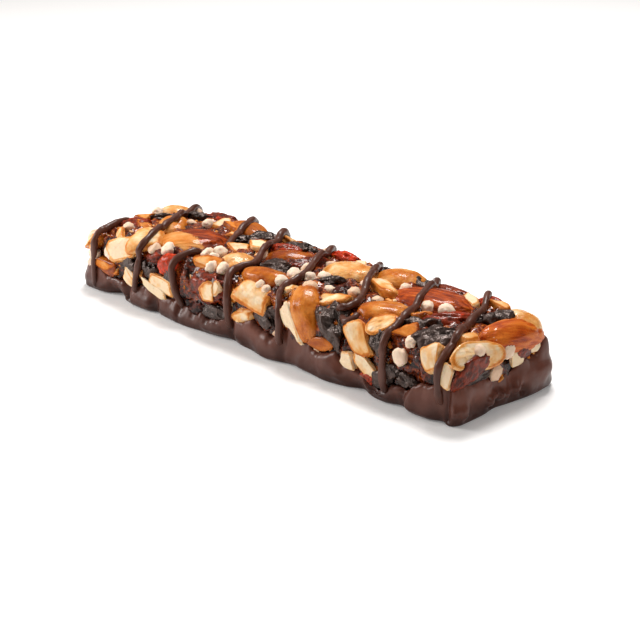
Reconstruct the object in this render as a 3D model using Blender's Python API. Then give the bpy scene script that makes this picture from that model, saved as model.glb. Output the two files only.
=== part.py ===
"""Nut and dried-fruit bar on a dark chocolate base, with chocolate strands over the top.

Shapes are worked out in millimetres and turned into metres at the end.
X runs along the bar, Y across it with the front side at -Y, and Z up.
The origin lies on the table under the middle of the bar.

A place on the nut slab is given as (along, across), measured over its surface:
both follow the flat top and then bend over the rounded edges and down the sides.
"""
import math

import bmesh
import bpy
import numpy as np
from mathutils import Matrix, Vector, noise
from mathutils.bvhtree import BVHTree

METRES = 0.001
SHARP_ANGLE = math.radians(50)
NUT_COLOUR = (0.52, 0.27, 0.11)
NUT_ROUGHNESS = 0.45
CHOCOLATE_COLOUR = (0.075, 0.036, 0.028)
CHOCOLATE_ROUGHNESS = 0.35

# The bar.
BAR_LENGTH = 118.0
BAR_WIDTH = 33.6
SLAB_TOP = 15.2
SLAB_LENGTH = 116.4
SLAB_WIDTH = 32.0
EDGE_RADIUS = 6.0
# The left end of the top falls away by this much, from this place on.
END_FALL = 1.4
END_FALL_START = -40.0
SIDE_LIMIT = 0.15
SIDE_SOFTNESS = 1.4
TUCK_TOP = 6.5
TUCK_DEPTH = 3.0
TUCK_IN = 1.6
CORNER_RADIUS = 4.2
CORE_DEPTH = 2.1
CORE_BUMP = 0.7
CORE_BUMPS_PER_MM = 0.35
CORE_CELLS = (18, 6, 3)
# Share of the joined triangles that is kept.
KEPT_TRIANGLES = 0.45

# The chocolate base: a shallow tray that the slab is dipped into.
COAT_FLOOR = 1.6
COAT_RIM = 4.6
COAT_STATIONS = 120
CLEARANCE = 0.3
# Rises and dips of the rim: x, y, reach, height.
RIM_WAVES = (
    (-52.0, -16.8, 4.5, 2.1),
    (-42.5, -16.8, 2.0, 0.8),
    (-34.0, -16.8, 2.4, 1.4),
    (-28.8, -16.8, 2.0, -0.8),
    (-23.0, -16.8, 2.4, 0.9),
    (-15.0, -16.8, 4.0, -1.0),
    (-4.5, -16.8, 2.0, 1.0),
    (2.0, -16.8, 3.6, 2.6),
    (13.0, -16.8, 3.4, 4.2),
    (20.0, -16.8, 4.0, 1.8),
    (26.5, -16.8, 1.8, 2.0),
    (39.0, -16.8, 3.4, -2.2),
    (52.0, -16.8, 5.0, 2.6),
    (59.0, -14.0, 5.0, 3.0),
    (59.0, -7.0, 4.5, 3.0),
    (59.0, 5.0, 5.0, 3.6),
    (59.0, 11.0, 2.7, 5.6),
    (50.0, 16.8, 7.0, 2.2),
    (30.0, 16.8, 6.0, 1.4),
    (8.0, 16.8, 5.0, 2.4),
    (-14.0, 16.8, 6.0, 1.0),
    (-36.0, 16.8, 6.0, 2.2),
    (-57.0, 10.0, 6.0, 2.6),
    (-59.0, -4.0, 6.0, 1.4),
)
# Lobes and notches of the foot: x, y, reach, push outwards.
FOOT_LOBES = (
    (-45.0, -16.8, 2.8, -1.9),
    (-35.0, -16.8, 5.0, 0.4),
    (-29.6, -16.8, 1.6, -0.6),
    (-20.0, -16.8, 6.0, 0.6),
    (-5.5, -16.8, 3.4, -0.8),
    (7.0, -16.8, 3.6, 0.7),
    (14.5, -16.8, 2.4, -0.4),
    (24.0, -16.8, 3.4, 0.5),
    (33.0, -16.8, 2.6, -1.2),
    (43.5, -16.8, 2.0, -0.8),
    (54.0, -16.8, 1.8, -0.8),
    (59.0, -2.5, 3.0, -0.5),
    (59.0, 8.0, 4.0, 0.3),
    (40.0, 16.8, 4.0, 0.4),
    (18.0, 16.8, 3.0, -0.9),
    (-6.0, 16.8, 5.0, 0.5),
    (-28.0, 16.8, 3.0, -0.9),
    (-59.0, 2.0, 4.0, -0.6),
)

# Pieces that show: kind, along, across, turn in degrees, length, width.
PIECES = (
    ("almond", 35.8, 3.4, 14, 20.5, 11.0),
    ("almond", 57.0, 3.4, 78, 19.0, 8.0),
    ("almond", -28.3, -5.2, 40, 20.0, 15.0),
    ("almond", -26.0, 9.4, -9, 14.5, 8.4),
    ("almond", 22.6, -20.6, 10, 8.6, 3.6),
    ("cashew", 15.2, -16.4, -62, 13.5, 7.6),
    ("half", 2.0, -16.0, -12, 13.0, 6.8),
    ("half", 57.8, -8.2, 76, 15.0, 5.4),
    ("peanut", 12.4, 3.0, 19, 14.5, 10.0),
    ("peanut", -36.4, -12.0, 24, 13.0, 8.5),
    ("peanut", -4.4, 2.8, 29, 13.0, 7.5),
    ("peanut", 1.6, -10.6, 8, 12.5, 5.0),
    ("peanut", 33.4, -8.3, 30, 12.0, 7.5),
    ("peanut", 22.0, 8.4, 30, 12.5, 9.0),
    ("peanut", -10.6, -7.7, 60, 9.5, 8.5),
    ("peanut", 54.8, 8.6, 23, 10.0, 8.0),
    ("peanut", -50.8, 8.4, 30, 10.0, 7.5),
    ("peanut", -42.6, 1.0, 45, 7.5, 6.5),
    ("peanut", -38.6, -2.6, 30, 7.0, 6.5),
    ("peanut", 36.8, -12.8, 50, 6.5, 4.5),
    ("slice", -28.6, -21.6, -6, 12.0, 5.6),
    ("slice", -41.6, -16.4, 16, 9.8, 5.6),
    ("slice", 32.6, -17.0, -50, 9.4, 5.8),
    ("slice", 51.2, -15.6, -60, 6.6, 5.2),
    ("slice", 35.4, -22.2, -28, 8.0, 3.8),
    ("slice", -45.7, -21.0, -10, 7.0, 3.8),
    ("slice", -45.4, -12.8, -43, 6.5, 3.4),
    ("slice", 0.5, -18.0, -20, 6.5, 3.0),
    ("slice", 61.2, 2.6, 84, 4.2, 3.2),
    ("slice", 60.4, 7.6, 80, 4.0, 4.2),
    ("slice", 55.8, -18.0, -74, 5.5, 3.8),
    ("slice", 12.8, -18.8, -62, 9.5, 3.2),
    ("chunk", 20.1, -9.5, 6, 10.5, 5.5),
    ("chunk", -15.3, -12.3, 1, 11.5, 5.0),
    ("chunk", 24.8, 0.6, -27, 11.0, 5.2),
    ("chunk", 42.0, 8.0, -27, 9.5, 5.0),
    ("chunk", -14.6, 2.8, -42, 9.0, 5.0),
    ("chunk", 0.3, -21.4, 10, 9.0, 4.8),
    ("chunk", 43.3, -12.6, 1, 7.5, 4.6),
    ("chunk", 54.5, -8.4, 74, 7.0, 5.4),
    ("chunk", 30.4, -22.2, 10, 6.0, 5.0),
    ("chunk", -38.4, -21.8, -40, 6.0, 4.5),
    ("chunk", -28.8, 7.6, -16, 7.0, 5.2),
    ("chunk", -33.0, 7.4, 45, 5.5, 5.0),
    ("chunk", -16.6, -1.8, 72, 6.5, 4.6),
    ("chunk", -12.8, 11.4, 0, 7.0, 4.6),
    ("chunk", -52.0, 0.0, 0, 5.5, 5.0),
    ("chunk", -45.4, -5.2, 0, 5.0, 4.0),
    ("chunk", 39.4, -5.4, 56, 5.5, 5.0),
    ("chunk", 47.8, 9.8, 0, 7.0, 5.0),
    ("chunk", -53.0, -15.8, 40, 6.5, 5.5),
    ("chunk", -57.6, -15.4, 60, 5.0, 4.5),
    ("chunk", -58.0, -7.5, 80, 6.0, 4.8),
    ("chunk", 3.6, -13.0, -4, 7.0, 3.2),
    ("chunk", -48.0, -21.0, -10, 9.0, 4.2),
    ("raisin", 24.6, -15.6, -58, 14.5, 8.2),
    ("raisin", 51.0, 5.4, 70, 12.5, 7.5),
    ("raisin", 49.0, -10.8, 50, 10.5, 7.2),
    ("raisin", -7.4, 8.4, 18, 11.5, 6.5),
    ("raisin", -10.0, -23.0, 12, 10.0, 4.0),
    ("raisin", 6.2, -19.8, -4, 10.0, 6.6),
    ("raisin", -1.2, -4.4, 55, 10.0, 7.2),
    ("raisin", 43.0, -8.4, 35, 9.0, 5.6),
    ("raisin", 13.4, -3.0, 45, 9.0, 5.4),
    ("raisin", 26.2, 10.6, 0, 9.0, 5.2),
    ("raisin", -39.2, -18.8, 15, 8.0, 5.2),
    ("raisin", -19.2, 8.2, 15, 9.0, 6.2),
    ("raisin", -20.4, 2.8, 45, 7.0, 5.0),
    ("raisin", -32.0, -18.5, 17, 6.5, 5.4),
    ("raisin", -24.6, -18.8, -80, 5.5, 4.2),
    ("raisin", 38.1, -16.4, -70, 6.5, 5.2),
    ("raisin", -47.8, 1.4, 37, 8.0, 3.6),
    ("raisin", 61.6, -9.2, 90, 8.0, 4.6),
    ("raisin", -42.4, 8.0, 30, 7.0, 5.5),
    ("berry", -12.4, -17.6, 3, 15.0, 10.4),
    ("berry", 45.0, -1.8, 45, 13.5, 6.0),
    ("berry", 1.0, 2.2, 100, 11.5, 4.6),
    ("berry", 59.4, -11.0, 96, 13.0, 5.2),
    ("berry", -37.4, 12.0, 10, 14.0, 6.5),
    ("berry", 3.0, 12.0, 10, 9.0, 5.2),
    ("berry", -8.4, 4.6, 27, 8.0, 4.2),
    ("berry", -48.8, -6.0, 45, 8.0, 6.4),
    ("berry", -25.7, -15.4, 26, 6.8, 5.4),
    ("berry", -30.2, -14.7, 20, 6.8, 3.6),
    ("berry", 19.7, -5.8, 80, 6.0, 4.6),
    ("berry", 60.0, 4.4, 76, 7.0, 4.2),
    ("berry", 44.5, 11.0, 0, 7.5, 5.4),
)
# Puffed rice that shows: along, across, length.
CRISPS = (
    (-28.2, -12.6, 4.0), (-31.7, -13.6, 3.6), (-18.8, -9.0, 3.6), (-17.3, -6.8, 4.0),
    (-15.4, -10.4, 3.2), (-13.1, -13.0, 3.6), (-9.8, -12.6, 3.4), (4.1, -0.9, 3.4),
    (4.8, -5.6, 4.0), (8.8, -4.6, 3.8), (10.4, -2.2, 3.4), (13.4, -9.2, 4.0),
    (6.0, -10.2, 4.2), (21.9, -5.2, 3.6), (38.0, -0.8, 3.6), (41.8, 0.6, 4.4),
    (45.3, -14.2, 3.4), (43.9, -17.6, 4.6), (58.0, -9.2, 4.6), (59.2, 0.0, 4.0),
    (62.4, -3.6, 4.0), (-46.2, -17.5, 3.4), (-46.9, -9.0, 3.2), (-52.0, -18.8, 4.2),
    (-53.6, -21.4, 3.6), (-35.2, 5.0, 3.2), (27.4, 4.4, 3.2), (-53.0, 4.4, 4.0),
    (-57.6, -11.6, 4.2),
)
# Rule for the pieces between and behind those, the largest first:
# kind, tries, shortest, longest, width as a share of length, how far back they begin.
FILLERS = (
    ("almond", 60, 17.0, 20.0, 0.52, 15.0),
    ("peanut", 150, 8.5, 12.0, 0.66, 6.0),
    ("raisin", 150, 7.0, 10.5, 0.62, 2.0),
    ("berry", 110, 6.5, 10.0, 0.52, -24.0),
    ("chunk", 360, 4.0, 7.0, 0.72, -24.0),
    ("crisp", 160, 2.6, 3.2, 0.94, -24.0),
)
FILL_SEED = 7
FILL_LIMIT = (64.5, 24.0)
FILL_CORNER = (52.0, 11.0)
FILL_END = 54.0
FILL_OVERLAP = 0.80
FILL_TURN = 50.0
FILL_LIFT = 0.5

# How far each kind stands out of the slab, its height as a share of its width,
# and the rings and sides of its ball.
KINDS = {
    "almond": (1.7, 0.66, 6, 7),
    "cashew": (1.5, 0.80, 7, 6),
    "half": (1.1, 0.55, 5, 7),
    "peanut": (1.4, 0.86, 5, 6),
    "slice": (0.9, 0.42, 3, 6),
    "chunk": (1.2, 0.95, 3, 5),
    "raisin": (1.2, 0.72, 4, 6),
    "berry": (1.2, 0.80, 4, 6),
    "crisp": (1.6, 0.94, 3, 5),
}

# How much a piece bends along with the slab's surface: 0 stays flat, 1 follows it.
BENT_SHARE = 0.6

# Forms of the kinds, for a ball of radius 1.
ALMOND_TAPER = 0.34
ALMOND_LEAN = 0.08
CASHEW_WIDTH = 0.80
CASHEW_BEND = 0.55
CASHEW_SHIFT = 0.2
PEANUT_BLUNTNESS = 0.12
HALF_CUT = 0.35
BLOCK_SQUARENESS = 0.55
BLOCK_SIZE = 0.92
BLOCK_WOBBLE = 0.22
BLOCK_WOBBLES = 1.7
FRUIT_CRUMPLES = 2.1
CRUMPLE = {"raisin": 0.24, "berry": 0.14, "crisp": 0.14}

# Chocolate strands: places (along, across) that each one runs over.
STRAND_RADIUS = 1.0
STRAND_SINK = 0.42
STRAND_STEP = 2.5
STRAND_TIP = 0.7
STRAND_WOBBLE = 0.12
STRAND_WOBBLES_PER_MM = 0.5
STRANDS = (
    ((-52.8, -3.0), (-52.0, -7.5), (-51.4, -11.0), (-51.0, -14.0), (-51.2, -18.0),
     (-51.6, -22.0), (-51.4, -26.0)),
    ((-52.0, 18.0), (-47.6, 12.0), (-45.0, 7.0), (-41.0, 0.5), (-38.5, -5.0), (-36.0, -9.5),
     (-34.2, -13.0), (-35.0, -17.0), (-36.0, -21.0), (-36.5, -24.5)),
    ((-21.5, -8.5), (-21.8, -11.5), (-23.0, -15.0), (-22.8, -18.5), (-20.8, -24.5)),
    ((-31.0, 17.0), (-26.0, 10.0), (-23.5, 4.5), (-19.0, -3.0)),
    ((-20.0, 17.0), (-15.5, 10.5), (-13.0, 5.5), (-10.0, -0.5), (-6.0, -7.3), (-6.4, -10.6),
     (-7.0, -12.5), (-5.2, -17.0), (-5.0, -25.0)),
    ((-5.0, 17.0), (-0.5, 10.5), (3.0, 3.5), (7.3, -5.0), (8.3, -10.0), (8.8, -13.5),
     (10.8, -17.5), (11.0, -22.5)),
    ((8.0, 17.0), (14.0, 11.0), (17.5, 5.5), (22.5, -2.5), (26.0, -8.0), (26.4, -11.6),
     (24.8, -12.8)),
    ((25.8, -13.4), (28.2, -14.6), (29.8, -13.6), (29.4, -11.8)),
    ((24.0, 17.0), (30.0, 11.0), (33.0, 5.0), (36.3, -2.0), (38.5, -8.0), (39.8, -12.0),
     (39.9, -16.0), (40.2, -25.5)),
    ((37.5, 17.5), (43.0, 11.5), (46.8, 5.5), (49.2, -1.0), (53.0, -9.5), (53.8, -13.0),
     (53.7, -17.0), (53.9, -22.8)),
)


# The slab's surface.
def fold(distance, half):
    """Bend a distance from the middle over a rounded edge: place, drop and angle."""
    flat = half - EDGE_RADIUS
    bend = (abs(distance) - flat) / EDGE_RADIUS
    angle = min(max(bend, 0.0), math.pi / 2)
    place = min(abs(distance), flat) + EDGE_RADIUS * math.sin(angle)
    drop = EDGE_RADIUS * (1 - math.cos(angle) + max(bend - math.pi / 2, 0.0))
    side = math.copysign(1.0, distance)
    return side * place, drop, side * angle


def surface_frame(along, across):
    """Point, direction along, direction across and outward normal at a place."""
    x, drop_x, tip_x = fold(along, SLAB_LENGTH / 2)
    y, drop_y, tip_y = fold(across, SLAB_WIDTH / 2)
    normal = Vector((math.sin(tip_x) * math.cos(tip_y), math.sin(tip_y),
                     math.cos(tip_x) * math.cos(tip_y))).normalized()
    forward = Vector((math.cos(tip_x), 0.0, -math.sin(tip_x)))
    forward = (forward - normal * forward.dot(normal)).normalized()
    point = Vector((x, y, SLAB_TOP - drop_x - drop_y - end_fall(x)))
    return point, forward, normal.cross(forward), normal


def end_fall(x):
    """How far the top lies below its mean height towards the left end."""
    share = max(END_FALL_START - x, 0.0) / (END_FALL_START + SLAB_LENGTH / 2)
    return END_FALL * share * share


def keep_inside(point):
    """Press a point softly back inside the bar's sides, and further in behind the rim."""
    low = min(max((TUCK_TOP - point.z) / TUCK_DEPTH, 0.0), 1.0)
    limit = SIDE_LIMIT + TUCK_IN * low * low * (3 - 2 * low)
    inner = Vector((BAR_LENGTH / 2 - CORNER_RADIUS, BAR_WIDTH / 2 - CORNER_RADIUS))
    out = Vector((max(abs(point.x) - inner.x, 0.0), max(abs(point.y) - inner.y, 0.0)))
    excess = out.length - CORNER_RADIUS + limit + SIDE_SOFTNESS
    if excess > 0:
        pressed = SIDE_SOFTNESS * (1 - math.exp(-excess / SIDE_SOFTNESS))
        out *= (out.length - excess + pressed) / out.length
        point.x = math.copysign(min(abs(point.x), inner.x) + out.x, point.x)
        point.y = math.copysign(min(abs(point.y), inner.y) + out.y, point.y)
    return point


# Single pieces.
def ball(rings, sides):
    """Ball of radius 1 with its poles on X."""
    mesh = bmesh.new()
    turn = Matrix.Rotation(math.pi / 2, 4, "Y")
    bmesh.ops.create_uvsphere(mesh, u_segments=sides, v_segments=rings, radius=1.0, matrix=turn)
    return mesh


def shape_point(kind, point, seed):
    """Give a point of the ball the form of its kind, still about 1 in radius."""
    x, y, z = point
    if kind == "almond":
        narrow = 1.0 - ALMOND_TAPER * max(x, 0.0) ** 2 + ALMOND_LEAN * x
        return Vector((x, y * narrow, z * narrow))
    if kind == "cashew":
        return Vector((x, y * CASHEW_WIDTH + CASHEW_BEND * x * x - CASHEW_SHIFT, z))
    if kind == "peanut":
        blunt = 1.0 + PEANUT_BLUNTNESS * x * x
        return Vector((x, y * blunt, z * blunt))
    if kind == "half":
        return Vector((x, y, min(z, HALF_CUT)))
    if kind in ("slice", "chunk"):
        corner = max(abs(x), abs(y), abs(z))
        square = Vector((x, y, z)) / corner
        wobble = noise.noise_vector(point * BLOCK_WOBBLES + seed) * BLOCK_WOBBLE
        return point.lerp(square, BLOCK_SQUARENESS) * BLOCK_SIZE + wobble
    return point * (1.0 + CRUMPLE[kind] * noise.noise(point * FRUIT_CRUMPLES + seed))


def make_piece(kind, along, across, turn, length, width, lift, number):
    """One piece pressed into the slab, with its top standing a little out of it.

    It lies partly in the plane that touches the surface and partly bent along with it.
    """
    rise, height_share, rings, sides = KINDS[kind]
    height = width * height_share
    rise = lift * min(rise, height * 0.55)
    turn = math.radians(turn)
    ahead, aside = math.cos(turn), math.sin(turn)
    flat_origin, forward, sideways, flat_normal = surface_frame(along, across)
    seed = Vector((number * 3.1, number * 1.7, 0.0))
    mesh = ball(rings, sides)
    for vertex in mesh.verts:
        x, y, z = shape_point(kind, vertex.co.copy(), seed)
        x *= length / 2
        y *= width / 2
        up = rise + (z - 1) * height / 2
        out, over = x * ahead - y * aside, x * aside + y * ahead
        flat = flat_origin + forward * out + sideways * over + flat_normal * up
        bent_origin, _, _, bent_normal = surface_frame(along + out, across + over)
        bent = bent_origin + bent_normal * up
        vertex.co = keep_inside(flat.lerp(bent, BENT_SHARE))
    return mesh


def filler_pieces():
    """Places of the pieces between the named ones, drawn evenly and never twice on one spot."""
    draw = np.random.default_rng(FILL_SEED)
    taken = [piece[1:] for piece in PIECES]
    taken += [(along, across, 0.0, length, length) for along, across, length in CRISPS]
    for kind, tries, shortest, longest, share, nearest in FILLERS:
        for along, across, turn, size in draw.random((tries, 4)):
            along = (2 * along - 1) * FILL_LIMIT[0]
            across = (2 * across - 1) * FILL_LIMIT[1]
            length = shortest + (longest - shortest) * size
            at_corner = abs(along) > FILL_CORNER[0] and abs(across) > FILL_CORNER[1]
            if at_corner or across < nearest:
                continue
            if is_free(along, across, length * math.sqrt(share) / 2, taken):
                turn = (2 * turn - 1) * FILL_TURN
                if abs(along) > FILL_END:
                    turn += 90.0
                place = (along, across, turn, length, length * share)
                taken.append(place)
                yield (kind, *place)


def is_free(along, across, reach, taken):
    """True where a round piece would overlap none of the taken ovals by much."""
    for centre_along, centre_across, turn, length, width in taken:
        angle = math.radians(turn)
        out = along - centre_along
        over = across - centre_across
        lengthways = out * math.cos(angle) + over * math.sin(angle)
        crossways = over * math.cos(angle) - out * math.sin(angle)
        oval = math.hypot(lengthways / (length / 2 + reach), crossways / (width / 2 + reach))
        if oval < FILL_OVERLAP:
            return False
    return True


def all_pieces():
    """Every piece of the slab as a mesh."""
    layout = [(*piece, 1.0) for piece in PIECES]
    layout += [("crisp", along, across, 31.0 * length, length, length * 0.9, 1.0)
               for along, across, length in CRISPS]
    layout += [(*piece, FILL_LIFT) for piece in filler_pieces()]
    return [make_piece(*piece, number) for number, piece in enumerate(layout)]


def core():
    """Solid middle of the slab, a bumpy rounded block that the pieces are pressed into."""
    half = Vector((SLAB_LENGTH / 2, SLAB_WIDTH / 2, 0.0)) - Vector((CORE_DEPTH, CORE_DEPTH, 0.0))
    top = SLAB_TOP - CORE_DEPTH
    mesh = bmesh.new()
    bmesh.ops.create_cube(mesh, size=2.0)
    for axis, cells in enumerate(CORE_CELLS):
        edges = [edge for edge in mesh.edges
                 if abs((edge.verts[0].co - edge.verts[1].co)[axis]) > 1.0]
        bmesh.ops.subdivide_edges(mesh, edges=edges, cuts=cells - 1, use_grid_fill=True)
    radius = EDGE_RADIUS - CORE_DEPTH / 2
    for vertex in mesh.verts:
        x, y, z = vertex.co
        point = Vector((x * half.x, y * half.y, COAT_FLOOR + (z + 1) / 2 * (top - COAT_FLOOR)))
        point.z -= end_fall(point.x) * (z + 1) / 2
        inner = Vector((min(max(point.x, radius - half.x), half.x - radius),
                        min(max(point.y, radius - half.y), half.y - radius),
                        min(point.z, top - radius)))
        out = point - inner
        if out.length > radius:
            point = inner + out.normalized() * radius
        bump = CORE_BUMP * noise.noise(point * CORE_BUMPS_PER_MM)
        if z > -1:
            point += out.normalized() * bump if out.length else Vector()
        vertex.co = point
    return mesh


# Chocolate strands.
def smooth_path(places):
    """Evenly spaced places on a Catmull-Rom curve through the given ones."""
    nodes = [Vector(place) for place in places]
    nodes = [2 * nodes[0] - nodes[1]] + nodes + [2 * nodes[-1] - nodes[-2]]
    path = []
    for before, start, end, after in zip(nodes, nodes[1:], nodes[2:], nodes[3:]):
        steps = max(round((end - start).length / STRAND_STEP), 1)
        for step in range(steps):
            t = step / steps
            path.append(0.5 * (2 * start + (end - before) * t
                               + (2 * before - 5 * start + 4 * end - after) * t ** 2
                               + (3 * start - before - 3 * end + after) * t ** 3))
    path.append(nodes[-2])
    return path


def drape(places, under):
    """Points of a strand laid over the pieces: it sags between the high ones."""
    reach = 10.0
    frames = [surface_frame(*place) for place in smooth_path(places)]
    rises = []
    for origin, _, _, normal in frames:
        hit, _, _, distance = under.ray_cast(origin + normal * reach, -normal)
        rises.append(max(reach - distance, 0.0) if hit else 0.0)
    held = [max(rises[max(i - 1, 0):i + 2]) for i in range(len(rises))]
    for _ in range(2):
        held = [(held[max(i - 1, 0)] + 2 * held[i] + held[min(i + 1, len(held) - 1)]) / 4
                for i in range(len(held))]
    lift = STRAND_RADIUS - STRAND_SINK * 2 * STRAND_RADIUS
    return [frame[0] + frame[3] * (rise + lift) for frame, rise in zip(frames, held)]


def strand(places, under):
    """Tube of chocolate along a draped path, thinner at its ends."""
    points = drape(places, under)
    curve = bpy.data.curves.new("strand", "CURVE")
    curve.dimensions = "3D"
    curve.bevel_depth = STRAND_RADIUS
    curve.bevel_resolution = 1
    curve.use_fill_caps = True
    spline = curve.splines.new("POLY")
    spline.points.add(len(points) - 1)
    for number, (knot, point) in enumerate(zip(spline.points, points)):
        at_end = number in (0, len(points) - 1)
        knot.co = (*point, 1.0)
        wobble = STRAND_WOBBLE * noise.noise(point * STRAND_WOBBLES_PER_MM)
        knot.radius = STRAND_TIP if at_end else 1.0 + wobble
    item = bpy.data.objects.new("strand", curve)
    bpy.context.collection.objects.link(item)
    bpy.context.view_layer.update()
    tube = bmesh.new()
    tube.from_mesh(item.evaluated_get(bpy.context.evaluated_depsgraph_get()).to_mesh())
    bpy.data.objects.remove(item)
    bmesh.ops.remove_doubles(tube, verts=tube.verts, dist=0.01)
    for vertex in tube.verts:
        vertex.co = keep_inside(vertex.co)
    return tube


# Chocolate base.
def outline(count):
    """Places and outward directions at even steps round the bar's plan, as arrays."""
    straight_x = BAR_LENGTH - 2 * CORNER_RADIUS
    straight_y = BAR_WIDTH - 2 * CORNER_RADIUS
    arc = CORNER_RADIUS * math.pi / 2
    places = []
    for step in range(count):
        distance = step / count * 2 * (straight_x + straight_y + 2 * arc)
        heading = 0.0
        corner = Vector((-straight_x / 2, -straight_y / 2))
        for straight in (straight_x, straight_y, straight_x, straight_y):
            ahead = Vector((math.cos(heading), math.sin(heading)))
            outwards = Vector((ahead.y, -ahead.x))
            if distance <= straight:
                places.append((*(corner + ahead * distance), *outwards))
                break
            distance -= straight
            corner += ahead * straight
            if distance <= arc:
                outwards.rotate(Matrix.Rotation(distance / CORNER_RADIUS, 2))
                places.append((*corner, *outwards))
                break
            distance -= arc
            heading += math.pi / 2
    table = np.array(places)
    return table[:, :2] + table[:, 2:] * CORNER_RADIUS, table[:, 2:]


def waves(places, table):
    """Sum of soft bumps: height * exp(-(distance / reach)^2)."""
    total = np.zeros(len(places))
    for x, y, reach, height in table:
        squared = ((places - (x, y)) ** 2).sum(axis=1)
        total += height * np.exp(-squared / reach ** 2)
    return total


def coat_rows(grow):
    """Rows of the tray from its foot over the rim to its inner floor, each (count, 3)."""
    places, outwards = outline(COAT_STATIONS)
    rim = COAT_RIM + waves(places, RIM_WAVES)
    foot = waves(places, FOOT_LOBES)
    # Sideways place, foot's share of the lobes, height, then which way a grown tray moves.
    profile = (
        (-0.9, 1.0, 0.0 * rim, 1, -1),
        (-0.2, 0.9, 0.7 + 0.0 * rim, 1, 0),
        (0.0, 0.7, 0.35 * rim + 0.3, 1, 0),
        (-0.1, 0.4, 0.65 * rim, 1, 0),
        (-0.35, 0.2, rim - 0.7, 1, 0),
        (-1.1, 0.1, rim, 0.5, 1),
        (-1.8, 0.0, rim - 0.4, -1, 1),
        (-2.2, 0.0, COAT_FLOOR + 0.2 * (rim - COAT_FLOOR), -1, 0.5),
        (-3.2, 0.0, COAT_FLOOR + 0.0 * rim, -1, 1),
    )
    rows = []
    for sideways, share, height, grow_out, grow_up in profile:
        shift = sideways + share * foot + grow * grow_out
        plan = places + outwards * shift[:, None]
        rows.append(np.column_stack([plan, height + grow * grow_up]))
    return np.array(rows)


def coat(grow):
    """The tray as a mesh; with grow it is the same form, larger all over by that much."""
    plain = coat_rows(0.0).reshape(-1, 3)
    rows = coat_rows(grow)
    for axis, half in ((0, BAR_LENGTH / 2), (1, BAR_WIDTH / 2)):
        column = rows[:, :, axis]
        stretch = np.where(column > 0, half / plain[:, axis].max(), -half / plain[:, axis].min())
        rows[:, :, axis] = column * stretch
    mesh = bmesh.new()
    rings = [[mesh.verts.new(point) for point in row] for row in rows]
    for lower, upper in zip(rings, rings[1:]):
        for i in range(COAT_STATIONS):
            j = (i + 1) % COAT_STATIONS
            mesh.faces.new((lower[i], lower[j], upper[j], upper[i]))
    mesh.faces.new(reversed(rings[0]))
    mesh.faces.new(rings[-1])
    return mesh


# Building.
def put(name, mesh, collection):
    """Turn a bmesh into an object of a collection, all in triangles facing out."""
    bmesh.ops.triangulate(mesh, faces=mesh.faces)
    bmesh.ops.recalc_face_normals(mesh, faces=mesh.faces)
    data = bpy.data.meshes.new(name)
    mesh.to_mesh(data)
    mesh.free()
    item = bpy.data.objects.new(name, data)
    collection.objects.link(item)
    return item


def apply_modifier(item, kind, **settings):
    """Give an object one modifier and keep its result as the object's mesh."""
    change = item.modifiers.new("change", kind)
    for setting, value in settings.items():
        setattr(change, setting, value)
    bpy.context.view_layer.update()
    graph = bpy.context.evaluated_depsgraph_get()
    result = bpy.data.meshes.new_from_object(item.evaluated_get(graph))
    item.modifiers.clear()
    item.data = result


def keep_one_body(item):
    """Triangulate, then drop loose scraps and the walls of sealed hollows."""
    mesh = bmesh.new()
    mesh.from_mesh(item.data)
    triangulate_apart(mesh)
    left = set(mesh.verts)
    bodies = []
    while left:
        body = [left.pop()]
        for vertex in body:
            for edge in vertex.link_edges:
                other = edge.other_vert(vertex)
                if other in left:
                    left.remove(other)
                    body.append(other)
        bodies.append(body)
    bodies.sort(key=len)
    scraps = [vertex for body in bodies[:-1] for vertex in body]
    bmesh.ops.delete(mesh, geom=scraps, context="VERTS")
    mesh.to_mesh(item.data)
    mesh.free()


def triangulate_apart(mesh):
    """Triangulate so that no two faces are split along the same line.

    Faces that would be get a point in their middle instead.
    """
    trial = mesh.copy()
    bmesh.ops.triangulate(trial, faces=trial.faces)
    shared = [(edge.verts[0].index, edge.verts[1].index)
              for edge in trial.edges if len(edge.link_faces) > 2]
    trial.free()
    mesh.verts.ensure_lookup_table()
    crowded = {face for start, end in shared for face in mesh.verts[start].link_faces
               if mesh.verts[end] in face.verts and len(face.verts) > 3}
    bmesh.ops.poke(mesh, faces=list(crowded))
    bmesh.ops.triangulate(mesh, faces=mesh.faces)


def surface_material(name, colour, roughness):
    """Plain food surface."""
    material = bpy.data.materials.new(name)
    material.use_nodes = True
    shader = material.node_tree.nodes["Principled BSDF"]
    shader.inputs["Base Color"].default_value = (*colour, 1.0)
    shader.inputs["Roughness"].default_value = roughness
    shader.inputs["Metallic"].default_value = 0.0
    return material


def finish(item, material):
    """Turn millimetres into metres, give the material and shade smooth with sharp edges."""
    item.data.transform(Matrix.Scale(METRES, 4))
    item.data.materials.clear()
    item.data.materials.append(material)
    item.data.shade_smooth()
    item.data.set_sharp_from_angle(angle=SHARP_ANGLE)


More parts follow.
